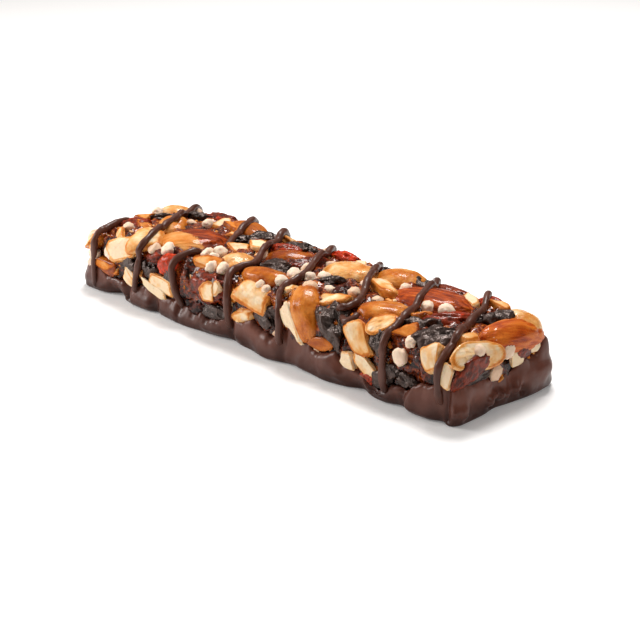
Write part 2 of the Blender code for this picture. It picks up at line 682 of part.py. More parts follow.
def build_cluster():
    """Slab of nuts and fruit with its strands, clear of the chocolate base."""
    scene_collection = bpy.context.scene.collection
    additions = bpy.data.collections.new("additions")
    scene_collection.children.link(additions)
    cluster = put("nut_cluster", core(), scene_collection)
    joined = bmesh.new()
    for mesh in all_pieces():
        piece = put("piece", mesh, additions)
        joined.from_mesh(piece.data)
    under = BVHTree.FromBMesh(joined)
    joined.free()
    for places in STRANDS:
        put("strand", strand(places, under), additions)
    # The exact solver leaves open edges on this many overlapping pieces.
    apply_modifier(cluster, "BOOLEAN", operation="UNION", solver="MANIFOLD",
                   operand_type="COLLECTION", collection=additions)
    for item in list(additions.objects):
        bpy.data.objects.remove(item)
    bpy.data.collections.remove(additions)
    keep_one_body(cluster)
    apply_modifier(cluster, "DECIMATE", ratio=KEPT_TRIANGLES)
    cutter = put("cutter", coat(CLEARANCE), scene_collection)
    apply_modifier(cluster, "BOOLEAN", operation="DIFFERENCE", solver="MANIFOLD", object=cutter)
    bpy.data.objects.remove(cutter)
    keep_one_body(cluster)
    return cluster


def main():
    for item in list(bpy.data.objects):
        bpy.data.objects.remove(item)
    nuts = surface_material("nuts_and_fruit", NUT_COLOUR, NUT_ROUGHNESS)
    finish(build_cluster(), nuts)
    base = put("chocolate_base", coat(0.0), bpy.context.scene.collection)
    finish(base, surface_material("dark_chocolate", CHOCOLATE_COLOUR, CHOCOLATE_ROUGHNESS))


main()
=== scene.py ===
import bpy
import numpy as np
from mathutils import Matrix, Vector
from mathutils.bvhtree import BVHTree


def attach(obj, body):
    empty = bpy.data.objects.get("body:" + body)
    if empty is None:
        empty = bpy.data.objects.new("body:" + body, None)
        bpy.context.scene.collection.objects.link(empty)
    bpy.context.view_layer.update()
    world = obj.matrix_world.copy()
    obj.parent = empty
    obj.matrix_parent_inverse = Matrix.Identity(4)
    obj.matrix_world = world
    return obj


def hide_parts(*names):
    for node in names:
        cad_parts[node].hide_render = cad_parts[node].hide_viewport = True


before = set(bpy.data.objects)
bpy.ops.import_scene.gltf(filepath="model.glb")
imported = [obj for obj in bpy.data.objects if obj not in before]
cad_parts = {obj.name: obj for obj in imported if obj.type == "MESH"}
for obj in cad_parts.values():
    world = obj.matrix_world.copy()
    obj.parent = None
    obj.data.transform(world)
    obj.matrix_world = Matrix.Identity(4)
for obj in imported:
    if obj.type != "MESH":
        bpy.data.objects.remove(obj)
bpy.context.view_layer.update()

mm = 0.001  # every shape is worked out in millimetres

# The bar: the slab's surface that the pieces lie in, and how they are pressed at its sides, in mm.
bar = {
    "length": 118.0,
    "width": 33.6,
    "top": 15.2,
    "slabLength": 115.2,
    "slabWidth": 30.8,
    "edgeRadius": 5.4,
    "cornerRadius": 4.2,
    "endFall": 1.4,
    "endFallStart": -40.0,
    "sideLimit": 0.4,  # pieces stay this far inside the bar's plan
    "topLimit": 17.3,
    "softness": 0.9,  # of the press at both limits
    "tuckAbove": 0.3,  # from this far over the chocolate's rim
    "tuckDepth": 1.4,  # to this far further down
    "tuckIn": 1.2,  # pieces are pushed in by this much
    "bentShare": 0.6,  # 0 leaves a piece flat, 1 bends it with the slab
}
# Height of the chocolate's rim round the bar: x, y, reach and height of each rise or dip.
rim = {
    "height": 4.6,
    "waves": (
        (-52, -16.8, 4.5, 2.1), (-42.5, -16.8, 2, 0.8), (-34, -16.8, 2.4, 1.4), (-28.8, -16.8, 2, -0.8),
        (-23, -16.8, 2.4, 0.9), (-15, -16.8, 4, -1), (-4.5, -16.8, 2, 1), (2, -16.8, 3.6, 2.6),
        (13, -16.8, 3.4, 4.2), (20, -16.8, 4, 1.8), (26.5, -16.8, 1.8, 2), (39, -16.8, 3.4, -2.2),
        (52, -16.8, 5, 2.6), (59, -14, 5, 3), (59, -7, 4.5, 3), (59, 5, 5, 3.4), (59, 11.8, 3.2, 5.6),
        (50, 16.8, 7, 2.2), (30, 16.8, 6, 1.4), (8, 16.8, 5, 2.4), (-14, 16.8, 6, 1), (-36, 16.8, 6, 2.2),
        (-57, 10, 6, 2.6), (-59, -4, 6, 1.4),
    ),
}


def fold(distance, half):
    # A distance from the middle bent over a rounded edge: its place, its drop and its angle.
    # place = flat + radius * sin(angle), drop = radius * (1 - cos(angle)), then straight down.
    radius = bar["edgeRadius"]
    bend = (np.abs(distance) - half + radius) / radius
    angle = np.clip(bend, 0, np.pi / 2)
    place = np.minimum(np.abs(distance), half - radius) + radius * np.sin(angle)
    drop = radius * (1 - np.cos(angle) + np.maximum(bend - np.pi / 2, 0))
    side = np.sign(distance)
    return side * place, drop, side * angle


def unitLength(vectors):
    return vectors / np.linalg.norm(vectors, axis=-1, keepdims=True)


def endFall(x):
    # The top sinks towards the left end with the square of the distance past endFallStart.
    start = bar["endFallStart"]
    share = np.maximum(start - x, 0) / (start + bar["slabLength"] / 2)
    return bar["endFall"] * share ** 2


def surfaceFrame(along, across):
    # Point, forward, sideways and outward directions of the slab at places given over its surface.
    x, dropX, tipX = fold(along, bar["slabLength"] / 2)
    y, dropY, tipY = fold(across, bar["slabWidth"] / 2)
    flat = np.zeros_like(x)
    normal = unitLength(np.stack([np.sin(tipX) * np.cos(tipY), np.sin(tipY) + flat,
                                  np.cos(tipX) * np.cos(tipY)], axis=-1))
    forward = np.stack([np.cos(tipX), flat, -np.sin(tipX)], axis=-1)
    forward = unitLength(forward - normal * (forward * normal).sum(axis=-1, keepdims=True))
    point = np.stack([x, y, bar["top"] - dropX - dropY - endFall(x)], axis=-1)
    return point, forward, np.cross(normal, forward), normal


def waves(places, table):
    # Sum of soft bumps: height * exp(-(distance / reach)^2).
    total = 0
    for *centre, reach, height in table:
        total = total + height * np.exp(-((places - centre) ** 2).sum(axis=-1) / reach ** 2)
    return total


def rimHeight(places):
    return rim["height"] + waves(places, rim["waves"])


def keepInside(points, inset=bar["sideLimit"], tuck=1.0, ceiling=bar["topLimit"],
               softness=bar["softness"]):
    # Presses points softly back inside the rounded plan, further in behind the chocolate's rim, and
    # under a ceiling: past the limit a distance d becomes softness * (1 - exp(-d / softness)).
    radius = bar["cornerRadius"]
    inner = np.array([bar["length"] / 2 - radius, bar["width"] / 2 - radius])
    plan = points[..., :2]
    centre = np.clip(plan, -inner, inner)
    edge = centre + (plan - centre) * radius / np.maximum(
        np.linalg.norm(plan - centre, axis=-1, keepdims=True), 1)
    low = np.clip((rimHeight(edge) + bar["tuckAbove"] - points[..., 2]) / bar["tuckDepth"], 0, 1)
    limit = inset + tuck * bar["tuckIn"] * low * low * (3 - 2 * low)
    out = np.maximum(np.abs(plan) - inner, 0)
    reach = np.linalg.norm(out, axis=-1)
    excess = np.maximum(reach - radius + limit + softness, 0)
    pressed = softness * (1 - np.exp(-excess / softness))
    share = np.where(excess > 0, (reach - excess + pressed) / np.maximum(reach, 1e-6), 1)
    kept = np.sign(plan) * (np.minimum(np.abs(plan), inner) + out * share[..., None])
    above = np.maximum(points[..., 2:] - ceiling + softness, 0)
    return np.concatenate([kept, points[..., 2:] - above + softness * (1 - np.exp(-above / softness))],
                          axis=-1)


def cellValue(cell, seed):
    # One fixed value from -1 to 1 for every whole-number cell.
    key = cell.astype(np.int64).astype(np.uint32)
    key = key[..., 0] * np.uint32(73856093) ^ key[..., 1] * np.uint32(19349663) \
        ^ key[..., 2] * np.uint32(83492791) ^ np.uint32(seed * 7919 + 17)
    key = (key ^ key >> np.uint32(13)) * np.uint32(1274126177)
    key = (key ^ key >> np.uint32(15)) * np.uint32(2246822519)
    return (key >> np.uint32(16)) / 32767.5 - 1


def softNoise(points, seed=0):
    # Values at whole numbers, blended between them by 3t^2 - 2t^3.
    cell = np.floor(points)
    part = points - cell
    blend = part * part * (3 - 2 * part)
    total = 0
    for corner in np.ndindex(2, 2, 2):
        weight = np.where(corner, blend, 1 - blend).prod(axis=-1)
        total = total + weight * cellValue(cell + corner, seed)
    return total


def layeredNoise(points, layers, seed=0):
    # Each layer is twice as fine and half as strong as the one before.
    return sum(softNoise(points * 2 ** layer, seed + layer) / 2 ** layer for layer in range(layers))


def creases(points, layers, seed=0):
    # 1 along thin wandering lines, falling off to 0 between them: 1 - |noise|, in layers that are
    # each 1.9 times as fine and half as strong as the one before.
    total = 0
    for layer in range(layers):
        total = total + (1 - np.abs(softNoise(points * 1.9 ** layer, seed + layer))) / 2 ** layer
    return total / (2 - 0.5 ** (layers - 1))


def linkObject(name, data):
    item = bpy.data.objects.new(name, data)
    bpy.context.scene.collection.objects.link(item)
    return item


def makeObject(name, points, faces, fields, material):
    # Whole arrays into one mesh; faces is a list of corner tables, each of one face size.
    mesh = bpy.data.meshes.new(name)
    mesh.vertices.add(len(points))
    mesh.vertices.foreach_set("co", (points * mm).astype(np.float32).ravel())
    corners = np.concatenate([table.ravel() for table in faces])
    sizes = np.concatenate([np.full(len(table), table.shape[1]) for table in faces])
    mesh.loops.add(len(corners))
    mesh.loops.foreach_set("vertex_index", corners.astype(np.int32))
    mesh.polygons.add(len(sizes))
    mesh.polygons.foreach_set("loop_start", (np.cumsum(sizes) - sizes).astype(np.int32))
    mesh.update(calc_edges=True)
    mesh.shade_smooth()
    for title, values in fields.items():
        kind, slot = ("FLOAT_VECTOR", "vector") if values.ndim == 2 else ("FLOAT", "value")
        layer = mesh.attributes.new(title, kind, "POINT")
        layer.data.foreach_set(slot, values.astype(np.float32).ravel())
    mesh.materials.append(material)
    return linkObject(name, mesh)


def addPiece(item, node):
    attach(item, "root")
    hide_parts(node)
    print("made", item.name, len(item.data.polygons), "faces")
    return item


def ringQuads(rings, sides, first=0):
    # Corner table of the quads between rings of points, each ring closed round.
    start = first + np.arange(rings - 1)[:, None] * sides
    here = start + np.arange(sides)
    after = start + (np.arange(sides) + 1) % sides
    return np.stack([here, after, after + sides, here + sides], axis=-1).reshape(-1, 4)


def ballGrid(rings, sides):
    # Unit ball with both tips on X: x = cos(a), y = sin(a) cos(b), z = sin(a) sin(b).
    a = np.pi * np.arange(1, rings)[:, None] / rings
    b = 2 * np.pi * np.arange(sides)[None, :] / sides
    body = np.stack([np.cos(a) + 0 * b, np.sin(a) * np.cos(b), np.sin(a) * np.sin(b)], axis=-1)
    points = np.concatenate([[[1, 0, 0]], body.reshape(-1, 3), [[-1, 0, 0]]])
    quads = ringQuads(rings - 1, sides, 1)[:, [0, 3, 2, 1]]
    here = np.arange(sides)
    after = (here + 1) % sides
    first = np.stack([0 * here, 1 + here, 1 + after], axis=-1)
    last = 1 + (rings - 2) * sides
    end = np.stack([0 * here + len(points) - 1, last + after, last + here], axis=-1)
    return points, quads, np.concatenate([first, end])


def repeatFaces(faces, count, points):
    # The corner table of one copy, shifted on for every further copy.
    return (faces[None] + (np.arange(count) * points)[:, None, None]).reshape(-1, faces.shape[1])


def layPieces(rows, local, rises):
    # Lays pieces into the slab's surface: turned, then each point goes from its place on the
    # touching plane a share of the way to its place on the bent surface. A piece's highest point
    # stands its rise above the surface.
    along, across, turn = (rows[:, column, None] for column in range(3))
    turn = np.radians(turn)
    x, y, z = np.moveaxis(local, -1, 0)
    up = z - z.max(axis=1, keepdims=True) + rises[:, None]
    out = x * np.cos(turn) - y * np.sin(turn)
    over = x * np.sin(turn) + y * np.cos(turn)
    origin, forward, sideways, normal = surfaceFrame(along[:, 0], across[:, 0])
    flat = origin[:, None] + forward[:, None] * out[..., None] \
        + sideways[:, None] * over[..., None] + normal[:, None] * up[..., None]
    bentOrigin, _, _, bentNormal = surfaceFrame(along + out, across + over)
    bent = bentOrigin + bentNormal * up[..., None]
    points = keepInside(flat + (bent - flat) * bar["bentShare"])
    return points, np.maximum(-up, 0)


def fullRows(rows):
    # A table's rows with what they leave out: tint 0, share of the rise 1, roll 0.
    usual = (0.0, 1.0, 0.0, 0.0)
    return np.array([row + usual[len(row) - 5:] for row in rows], float)


def buildKind(name, look, rows, shape, material):
    # One object for all pieces of a kind. Its fields: place within the piece (grain), colour choice
    # (tint), the shape's own mark, and how deep a point lies in the slab (low).
    points, quads, tris = ballGrid(*look["grid"])
    count = len(rows)
    seeds = np.stack([np.arange(count) * 3.17, np.arange(count) * 5.71, np.arange(count) * 1.93],
                     axis=-1) + look["seed"]
    half = np.stack([rows[:, 3], rows[:, 4], rows[:, 4] * look["height"]], axis=-1) / 2
    form, mark = shape(points, rows, seeds)
    local = form * half[:, None]
    roll = np.radians(rows[:, 7, None])
    x, y, z = np.moveaxis(local, -1, 0)
    local = np.stack([x, y * np.cos(roll) - z * np.sin(roll), y * np.sin(roll) + z * np.cos(roll)],
                     axis=-1)
    rises = np.minimum(look["rise"], 1.1 * half[:, 2]) * rows[:, 6]
    laid, low = layPieces(rows, local, rises)
    fields = {
        "grain": (form * half[:, None] + seeds[:, None] * 4).reshape(-1, 3),
        "tint": np.repeat(rows[:, 5], len(points)),
        "mark": mark.reshape(-1),
        "low": low.reshape(-1),
    }
    faces = [repeatFaces(quads, count, len(points)), repeatFaces(tris, count, len(points))]
    return makeObject(name, laid.reshape(-1, 3), faces, fields, material)


class Link:
    # Wraps a socket: arithmetic on it adds Math nodes to its tree.
    def __init__(self, tree, socket=None):
        self.tree = tree
        self.socket = socket

    def node(self, kind, settings, values, output=0):
        # Any node: its settings first, then a value or a link for each socket.
        new = self.tree.nodes.new(kind)
        for setting, value in settings.items():
            if setting == "stops":
                fillRamp(new.color_ramp, value)
            else:
                setattr(new, setting, value)
        for socket, value in values.items():
            if isinstance(value, Link):
                self.tree.links.new(value.socket, new.inputs[socket])
            else:
                new.inputs[socket].default_value = value
        return Link(self.tree, new.outputs[output])

    def math(self, operation, first, second, clamp=False):
        return self.node("ShaderNodeMath", {"operation": operation, "use_clamp": clamp},
                         {0: first, 1: second})

    def __add__(self, other):
        return self.math("ADD", self, other)

    __radd__ = __add__

    def __sub__(self, other):
        return self.math("SUBTRACT", self, other)

    def __rsub__(self, other):
        return self.math("SUBTRACT", other, self)

    def __mul__(self, other):
        return self.math("MULTIPLY", self, other)

    __rmul__ = __mul__

    def clamped(self):
        return self.math("ADD", self, 0.0, clamp=True)

    def swing(self, amount):
        # Noise from 0 to 1 turned into a change of up to half the amount, either way.
        return (self - 0.5) * amount


def fillRamp(ramp, stops):
    while len(ramp.elements) < len(stops):
        ramp.elements.new(0.5)
    for element, (position, colour) in zip(ramp.elements, stops):
        element.position = position
        element.color = (*colour, 1)


def field(graph, name, output="Fac"):
    # A value or place that the mesh carries at its points.
    return graph.node("ShaderNodeAttribute", {"attribute_name": name}, {}, output)


def fineNoise(graph, place, scale, detail=3.0, stretch=None):
    # Noise on a place in millimetres, optionally stretched along the piece's length.
    if stretch:
        place = graph.node("ShaderNodeVectorMath", {"operation": "MULTIPLY"}, {0: place, 1: stretch})
    return graph.node("ShaderNodeTexNoise", {"noise_dimensions": "3D"},
                      {"Vector": place, "Scale": scale, "Detail": detail}, "Fac")


def ramp(graph, value, stops):
    return graph.node("ShaderNodeValToRGB", {"stops": stops}, {0: value}, "Color")


def mixColour(graph, share, first, second):
    return graph.node("ShaderNodeMix", {"data_type": "RGBA"}, {0: share, 6: first, 7: second}, 2)


def between(graph, value, low, high):
    # 0 below low and 1 above high, eased in between.
    return graph.node("ShaderNodeMapRange", {"interpolation_type": "SMOOTHSTEP"},
                      {"Value": value, "From Min": low, "From Max": high}, "Result")


def bump(graph, height, distance, strength=1.0):
    # Distance is how far the height stands out, in millimetres.
    return graph.node("ShaderNodeBump", {}, {"Height": height, "Strength": strength,
                                             "Distance": distance * mm}, "Normal")


def makeMaterial(name, constants, paint):
    # Constants go straight to the shader's sockets; paint returns the ones that vary.
    material = bpy.data.materials.new(name)
    material.use_nodes = True
    tree = material.node_tree
    shader = tree.nodes["Principled BSDF"]
    for socket, value in constants.items():
        shader.inputs[socket].default_value = value
    for socket, link in paint(Link(tree)).items():
        tree.links.new(link.socket, shader.inputs[socket])
    return material


# What the finishes share: a syrup glaze, and light that goes a little way in.
glaze = {"Coat Roughness": 0.07, "Coat IOR": 1.45}
glow = {"Subsurface Weight": 0.10, "Subsurface Radius": (1.0, 0.40, 0.15), "Subsurface Scale": 0.001}

nutLook = {
    "shader": {**glow, **glaze, "Specular IOR Level": 0.10},
    "stops": (  # the least roasted first
        (0.0, (0.87, 0.67, 0.45)), (0.08, (0.84, 0.56, 0.30)), (0.22, (0.78, 0.385, 0.125)),
        (0.38, (0.66, 0.220, 0.034)), (0.54, (0.50, 0.125, 0.008)), (0.74, (0.27, 0.046, 0.003)),
        (1.0, (0.06, 0.011, 0.003)),
    ),
    "blotches": 0.85,
    "fibres": 0.24,
    "cutPaler": 0.20,
    "rimDarker": 0.24,  # round the edge of a cut
    "depthShadeAndSyrup": 0.20,  # per millimetre of depth: partly syrup pooled low down, partly painted shade between the pieces
    "specks": 0.3,
    "speckColour": (0.30, 0.08, 0.015, 1),
    "roughness": 0.28,
    "cutRougher": 0.30,
    "glaze": 0.30,
    "cutDrier": 0.28,
    "relief": 0.26,
}


def nutPaint(graph):
    # Roast colour from tint, blotches and cut faces, darker with depth partly from pooled syrup and
    # partly as painted shade; a glaze everywhere but on the cuts.
    place = field(graph, "grain", "Vector")
    cut = field(graph, "mark")
    blotch = fineNoise(graph, place, 0.32, 2.0)
    fibre = fineNoise(graph, place, 1.6, 4.0, (0.35, 1.0, 1.0))
    speck = fineNoise(graph, place, 1.3, 3.0)
    # The depth term darkens towards orange-brown: partly pooled syrup, partly painted shade.
    roastAndShade = field(graph, "tint") + blotch.swing(nutLook["blotches"]) + fibre.swing(nutLook["fibres"]) \
        + field(graph, "low") * nutLook["depthShadeAndSyrup"] - cut * nutLook["cutPaler"] \
        + cut * (1 - cut) * 4 * nutLook["rimDarker"]
    colour = ramp(graph, roastAndShade.clamped(), nutLook["stops"])
    spotted = between(graph, speck, 0.64, 0.76) * nutLook["specks"]
    return {
        "Base Color": mixColour(graph, spotted, colour, nutLook["speckColour"]),
        "Roughness": nutLook["roughness"] + cut * nutLook["cutRougher"] + speck.swing(0.3),
        "Coat Weight": (nutLook["glaze"] - cut * nutLook["cutDrier"]).clamped(),
        "Normal": bump(graph, fibre * 0.3 + speck, nutLook["relief"], 0.9),
    }


skinLook = {
    "shader": {**glaze, "Coat Weight": 0.28, "Specular IOR Level": 0.08},
    "stops": (
        (0.0, (0.060, 0.007, 0.001)), (0.35, (0.22, 0.025, 0.002)), (0.62, (0.46, 0.070, 0.005)),
        (1.0, (0.70, 0.18, 0.020)),
    ),
    "streaks": 1.35,
    "darker": 0.2,
    "relief": 0.40,
}


def skinPaint(graph):
    # Almond: brown papery skin with dark lengthways streaks where mark is 1, bare nut where it is 0.
    place = field(graph, "grain", "Vector")
    skin = field(graph, "mark")
    streak = fineNoise(graph, place, 1.35, 4.0, (0.14, 1.0, 1.0))
    blotch = fineNoise(graph, place, 0.35, 3.0)
    grit = fineNoise(graph, place, 4.0, 2.0)
    brown = ramp(graph, (streak * skinLook["streaks"] - skinLook["darker"] + blotch.swing(0.5)
                         + grit.swing(0.2) + field(graph, "tint").swing(0.6)).clamped(),
                 skinLook["stops"])
    # The bare nut darkens with depth, partly from pooled syrup and partly as painted shade.
    bare = ramp(graph, (field(graph, "tint") + blotch.swing(0.5) + streak.swing(0.3)
                        + field(graph, "low") * nutLook["depthShadeAndSyrup"]).clamped(), nutLook["stops"])
    ragged = between(graph, skin + grit.swing(0.5) + blotch.swing(0.5), 0.42, 0.58)
    return {
        "Base Color": mixColour(graph, ragged, bare, brown),
        "Roughness": 0.36 + grit.swing(0.3),
        "Normal": bump(graph, streak + grit * 0.3, skinLook["relief"], 0.9),
    }


def folds(graph, place, scale):
    # Sharp ridges between rounded dips, stretched a little along the piece.
    place = graph.node("ShaderNodeVectorMath", {"operation": "MULTIPLY"},
                       {0: place, 1: (0.6, 1.0, 1.0)})
    settings = {"noise_dimensions": "3D", "noise_type": "RIDGED_MULTIFRACTAL", "normalize": True}
    return graph.node("ShaderNodeTexNoise", settings,
                      {"Vector": place, "Scale": scale, "Detail": 3.0, "Distortion": 0.8}, "Fac")


raisinLook = {
    "shader": {"Specular IOR Level": 0.62, "Specular Tint": (1.0, 0.76, 0.68, 1.0)},
    # From near black in the folds (painted shade) to greyer on the ridges (painted sheen).
    "stops": (
        (0.0, (0.004, 0.002, 0.001)), (0.5, (0.022, 0.010, 0.007)), (1.0, (0.14, 0.085, 0.068)),
    ),
    "roughness": 0.24,
    "relief": 1.5,
}


def raisinPaint(graph):
    # Near black in the folds as painted shade, greyer on the ridges as painted sheen.
    place = field(graph, "grain", "Vector")
    fine = fineNoise(graph, place, 1.2, 3.0)
    ridge = folds(graph, place, 0.30)
    # Painted shade and sheen: the ridge mark and the ridges lighten the colour, the folds stay near
    # black.
    shade = (field(graph, "mark") * 0.55 + ridge * 0.4 + fine.swing(0.6)).clamped()
    return {
        "Base Color": ramp(graph, shade, raisinLook["stops"]),
        "Roughness": raisinLook["roughness"] + fine * 0.2,
        "Normal": bump(graph, ridge + fine * 0.25, raisinLook["relief"], 1.0),
    }


berryLook = {
    "shader": {**glaze, "Coat Weight": 0.30, "Specular IOR Level": 0.10},
    "stops": (
        (0.0, (0.014, 0.003, 0.002)), (0.25, (0.085, 0.012, 0.004)), (0.5, (0.28, 0.030, 0.006)),
        (0.75, (0.62, 0.034, 0.003)), (1.0, (0.70, 0.13, 0.014)),
    ),
    "spots": 0.85,
    "seedColour": (0.40, 0.12, 0.05, 1),
    "roughness": 0.20,
    "relief": 0.7,
}


def berryPaint(graph):
    # Maroon to bright red by tint and spots, with small brown seeds, and darker deeper in the slab as
    # painted shade.
    place = field(graph, "grain", "Vector")
    fine = fineNoise(graph, place, 0.95, 5.0)
    seed = fineNoise(graph, place, 2.4, 1.0)
    ridge = folds(graph, place, 0.40)
    # The low term is painted shade: darker where the berry sinks between the pieces.
    red = field(graph, "tint") + fine.swing(berryLook["spots"]) + ridge.swing(0.4) \
        + field(graph, "mark") * 0.15 - field(graph, "low") * 0.10
    colour = ramp(graph, red.clamped(), berryLook["stops"])
    seeds = between(graph, seed, 0.68, 0.76) * 0.4
    return {
        "Base Color": mixColour(graph, seeds, colour, berryLook["seedColour"]),
        "Roughness": berryLook["roughness"] + fine * 0.25,
        "Normal": bump(graph, ridge + fine * 0.5, berryLook["relief"], 1.0),
    }


puffLook = {
    "shader": {**glow, "Specular IOR Level": 0.3},
    "stops": (
        (0.0, (0.90, 0.72, 0.56)), (0.5, (0.74, 0.48, 0.31)), (1.0, (0.32, 0.17, 0.10)),
    ),
    "roughness": 0.50,
    "relief": 0.18,
}


def puffPaint(graph):
    # Cream, browner by tint, in fine blotches and towards the paste, the last partly syrup and partly
    # painted shade.
    place = field(graph, "grain", "Vector")
    fine = fineNoise(graph, place, 1.8, 4.0)
    # The low term browns the puff with depth: partly syrup, partly painted shade.
    shade = field(graph, "tint") * 0.8 + fine.swing(0.5) + field(graph, "low") * 0.06
    return {
        "Base Color": ramp(graph, shade.clamped(), puffLook["stops"]),
        "Roughness": puffLook["roughness"] + fine * 0.2,
        "Normal": bump(graph, fine, puffLook["relief"], 0.7),
    }


syrupLook = {
    "shader": {**glaze, "Coat Weight": 0.55, "Specular IOR Level": 0.12},
    "stops": (
        (0.0, (0.006, 0.002, 0.001)), (0.40, (0.026, 0.006, 0.003)), (0.56, (0.11, 0.015, 0.004)),
        (0.72, (0.28, 0.045, 0.006)), (0.86, (0.50, 0.15, 0.02)), (1.0, (0.70, 0.33, 0.09)),
    ),
    "paintedTopLight": 0.12,  # painted light: lighter amber above the upper height, darker paste down in the gaps below the lower one, eased in between them
    "paintedLightHeights": (8.0, 14.0),
    "roughness": 0.14,
    "relief": 1.6,
}


def syrupPaint(graph):
    # Near black to amber in broad and fine patches, with painted light making it lighter amber higher up
    # and painted shade darker down in the gaps.
    place = field(graph, "grain", "Vector")
    broad = fineNoise(graph, place, 0.28, 3.0)
    fine = fineNoise(graph, place, 1.3, 4.0)
    ridge = folds(graph, place, 0.5)
    height = graph.node("ShaderNodeSeparateXYZ", {}, {0: place}, "Z")
    # The height term is painted light and shade: lighter on top, darker deep between the pieces.
    amber = broad * 1.1 + fine.swing(1.1) - 0.06 \
        + between(graph, height, *syrupLook["paintedLightHeights"]) * syrupLook["paintedTopLight"]
    return {
        "Base Color": ramp(graph, amber.clamped(), syrupLook["stops"]),
        "Roughness": syrupLook["roughness"] + fine * 0.2,
        "Normal": bump(graph, ridge + fine * 0.3, syrupLook["relief"], 1.0),
    }


chocolateLook = {
    "shader": {"Specular IOR Level": 0.28},
    "coat": ((0.3, (0.090, 0.026, 0.015)), (0.7, (0.162, 0.053, 0.033))),
    "strand": ((0.3, (0.074, 0.024, 0.014)), (0.7, (0.112, 0.038, 0.023))),
    "ripple": {"coat": 0.10, "strand": 0.06},
    "paintedFootShadow": 0.75,  # painted shadow: how much darker the foot is than the rim
    "footHeight": 5.5,
    # Colour of the painted shadow at the foot.
    "footShadowColour": (0.022, 0.004, 0.002, 1),
    "roughness": 0.26,
}


def chocolatePaint(part):
    # Dark brown in broad soft patches, with painted shadow darkening it towards the foot, and a faint
    # ripple.
    def paint(graph):
        place = field(graph, "grain", "Vector")
        broad = fineNoise(graph, place, 0.16, 2.0)
        fine = fineNoise(graph, place, 0.9, 3.0)
        height = graph.node("ShaderNodeSeparateXYZ", {}, {0: place}, "Z")
        # Painted shadow: the chocolate darkens towards the floor.
        foot = (1 - between(graph, height, 0.0, chocolateLook["footHeight"])) * chocolateLook["paintedFootShadow"]
        colour = ramp(graph, broad, chocolateLook[part])
        return {
            "Base Color": mixColour(graph, foot, colour, chocolateLook["footShadowColour"]),
            "Roughness": chocolateLook["roughness"] + broad * 0.2 + fine.swing(0.1),
            "Normal": bump(graph, fine, chocolateLook["ripple"][part], 0.5),
        }
    return paint


finishes = {
    "nut": ("roastedNut", nutLook, nutPaint),
    "skin": ("almondSkin", skinLook, skinPaint),
    "raisin": ("raisinSkin", raisinLook, raisinPaint),
    "berry": ("driedBerry", berryLook, berryPaint),
    "puff": ("puffedRice", puffLook, puffPaint),
    "syrup": ("syrupPaste", syrupLook, syrupPaint),
    "coat": ("chocolateCoat", chocolateLook, chocolatePaint("coat")),
    "strand": ("chocolateStrand", chocolateLook, chocolatePaint("strand")),
}
materials = {finish: makeMaterial(name, look["shader"], paint)
             for finish, (name, look, paint) in finishes.items()}
print("materials ready")


# The kinds of pieces. A form takes the points of a unit ball and gives each piece its own points,
# about 1 in radius, and its mark: where it has skin, a cut face or a fold's ridge. The rows say which
# piece lies where: along, across, turn, length, width, and after those, as far as they aren't the
# usual ones, tint (0), share of the kind's rise (1) and roll (0).

def spread(points, seeds, scale):
    # Places for noise: the unit form of every copy, moved on by its seed.
    return points * np.array(scale) + seeds[:, None]


almonds = {
    "grid": (60, 80), "height": 0.66, "rise": 1.7, "seed": 0.0,
    "taper": 0.34, "lean": 0.08, "swell": 0.03,
    "groove": 0.02, "skinGroove": 0.075,  # more where it has its skin
    "rows": (  # last: roll; 1 in its skin, 0 bare, 0.5 with a patch of skin
        (35.8, 3.4, 14, 20.5, 11, 0.55, 1.35, 0, 1), (57, 3.4, 78, 19, 8, 1, 1.1, 10, 1),
        (-28.3, -5.2, 40, 20, 15, 0.34, 1.3, 0, 0.5), (-26, 9.4, -9, 14.5, 8.4, 0.55, 1, 0, 0),
        (22.8, -20.8, 12, 7.6, 3, 0.6, 1.2, 0, 0),
    ),
}


def almondForm(points, rows, seeds):
    # Width falls by taper * x^2 towards the tip; thin grooves run lengthways.
    x = points[:, :1]
    narrow = 1 - almonds["taper"] * np.maximum(x, 0) ** 2 + almonds["lean"] * x
    form = points * np.concatenate([0 * x + 1, narrow, narrow], axis=1)
    groove = creases(spread(form, seeds, (0.9, 4.2, 4.2)), 3, 3) ** 4
    skin = rows[:, 8, None]
    patch = form[None, :, 0] * 0.75 + form[None, :, 1] * 0.55 + 0.12
    mark = np.where(skin == 0.5, np.clip(0.5 + patch * 2.2, 0, 1), skin)
    depth = (almonds["groove"] + almonds["skinGroove"] * mark) * groove
    swell = almonds["swell"] * softNoise(spread(form, seeds, (1.6, 1.6, 1.6)), 9)
    return form[None] * (1 - depth + swell)[..., None], mark


peanuts = {
    "grid": (38, 44), "height": 0.86, "rise": 1.4, "seed": 21.0,
    "blunt": 0.12, "seam": 0.07, "seamWidth": 0.09, "lumps": 0.07,
    "rows": (
        (12.4, 3.6, 19, 15, 11, 0.26, 1.6, 200), (-4.4, 2.8, 29, 13, 7.5, 0.72, 1, 160),
        (1.6, -10.6, 8, 12.5, 5.4, 0.56, 1.3, 200), (16.4, -15.4, -60, 14.5, 7.8, 0.48, 1.4),
        (33.4, -8.3, 30, 12.4, 7.5, 0.5, 1.5, 10), (22, 8.4, 30, 12.5, 9, 0.4, 1.4, 190),
        (-10.6, -7.7, 60, 9.5, 8.5, 0.22, 1, 30), (54.8, 8.6, 23, 10, 8, 0.26, 1, 180),
        (-50.8, 8.4, 30, 10, 7.5, 0.28, 1, 180), (-42.6, 1, 45, 7.5, 6.5, 0.34, 1, 180),
        (-38.6, -2.6, 30, 7, 6.5, 0.36, 1, 180),
    ),
}


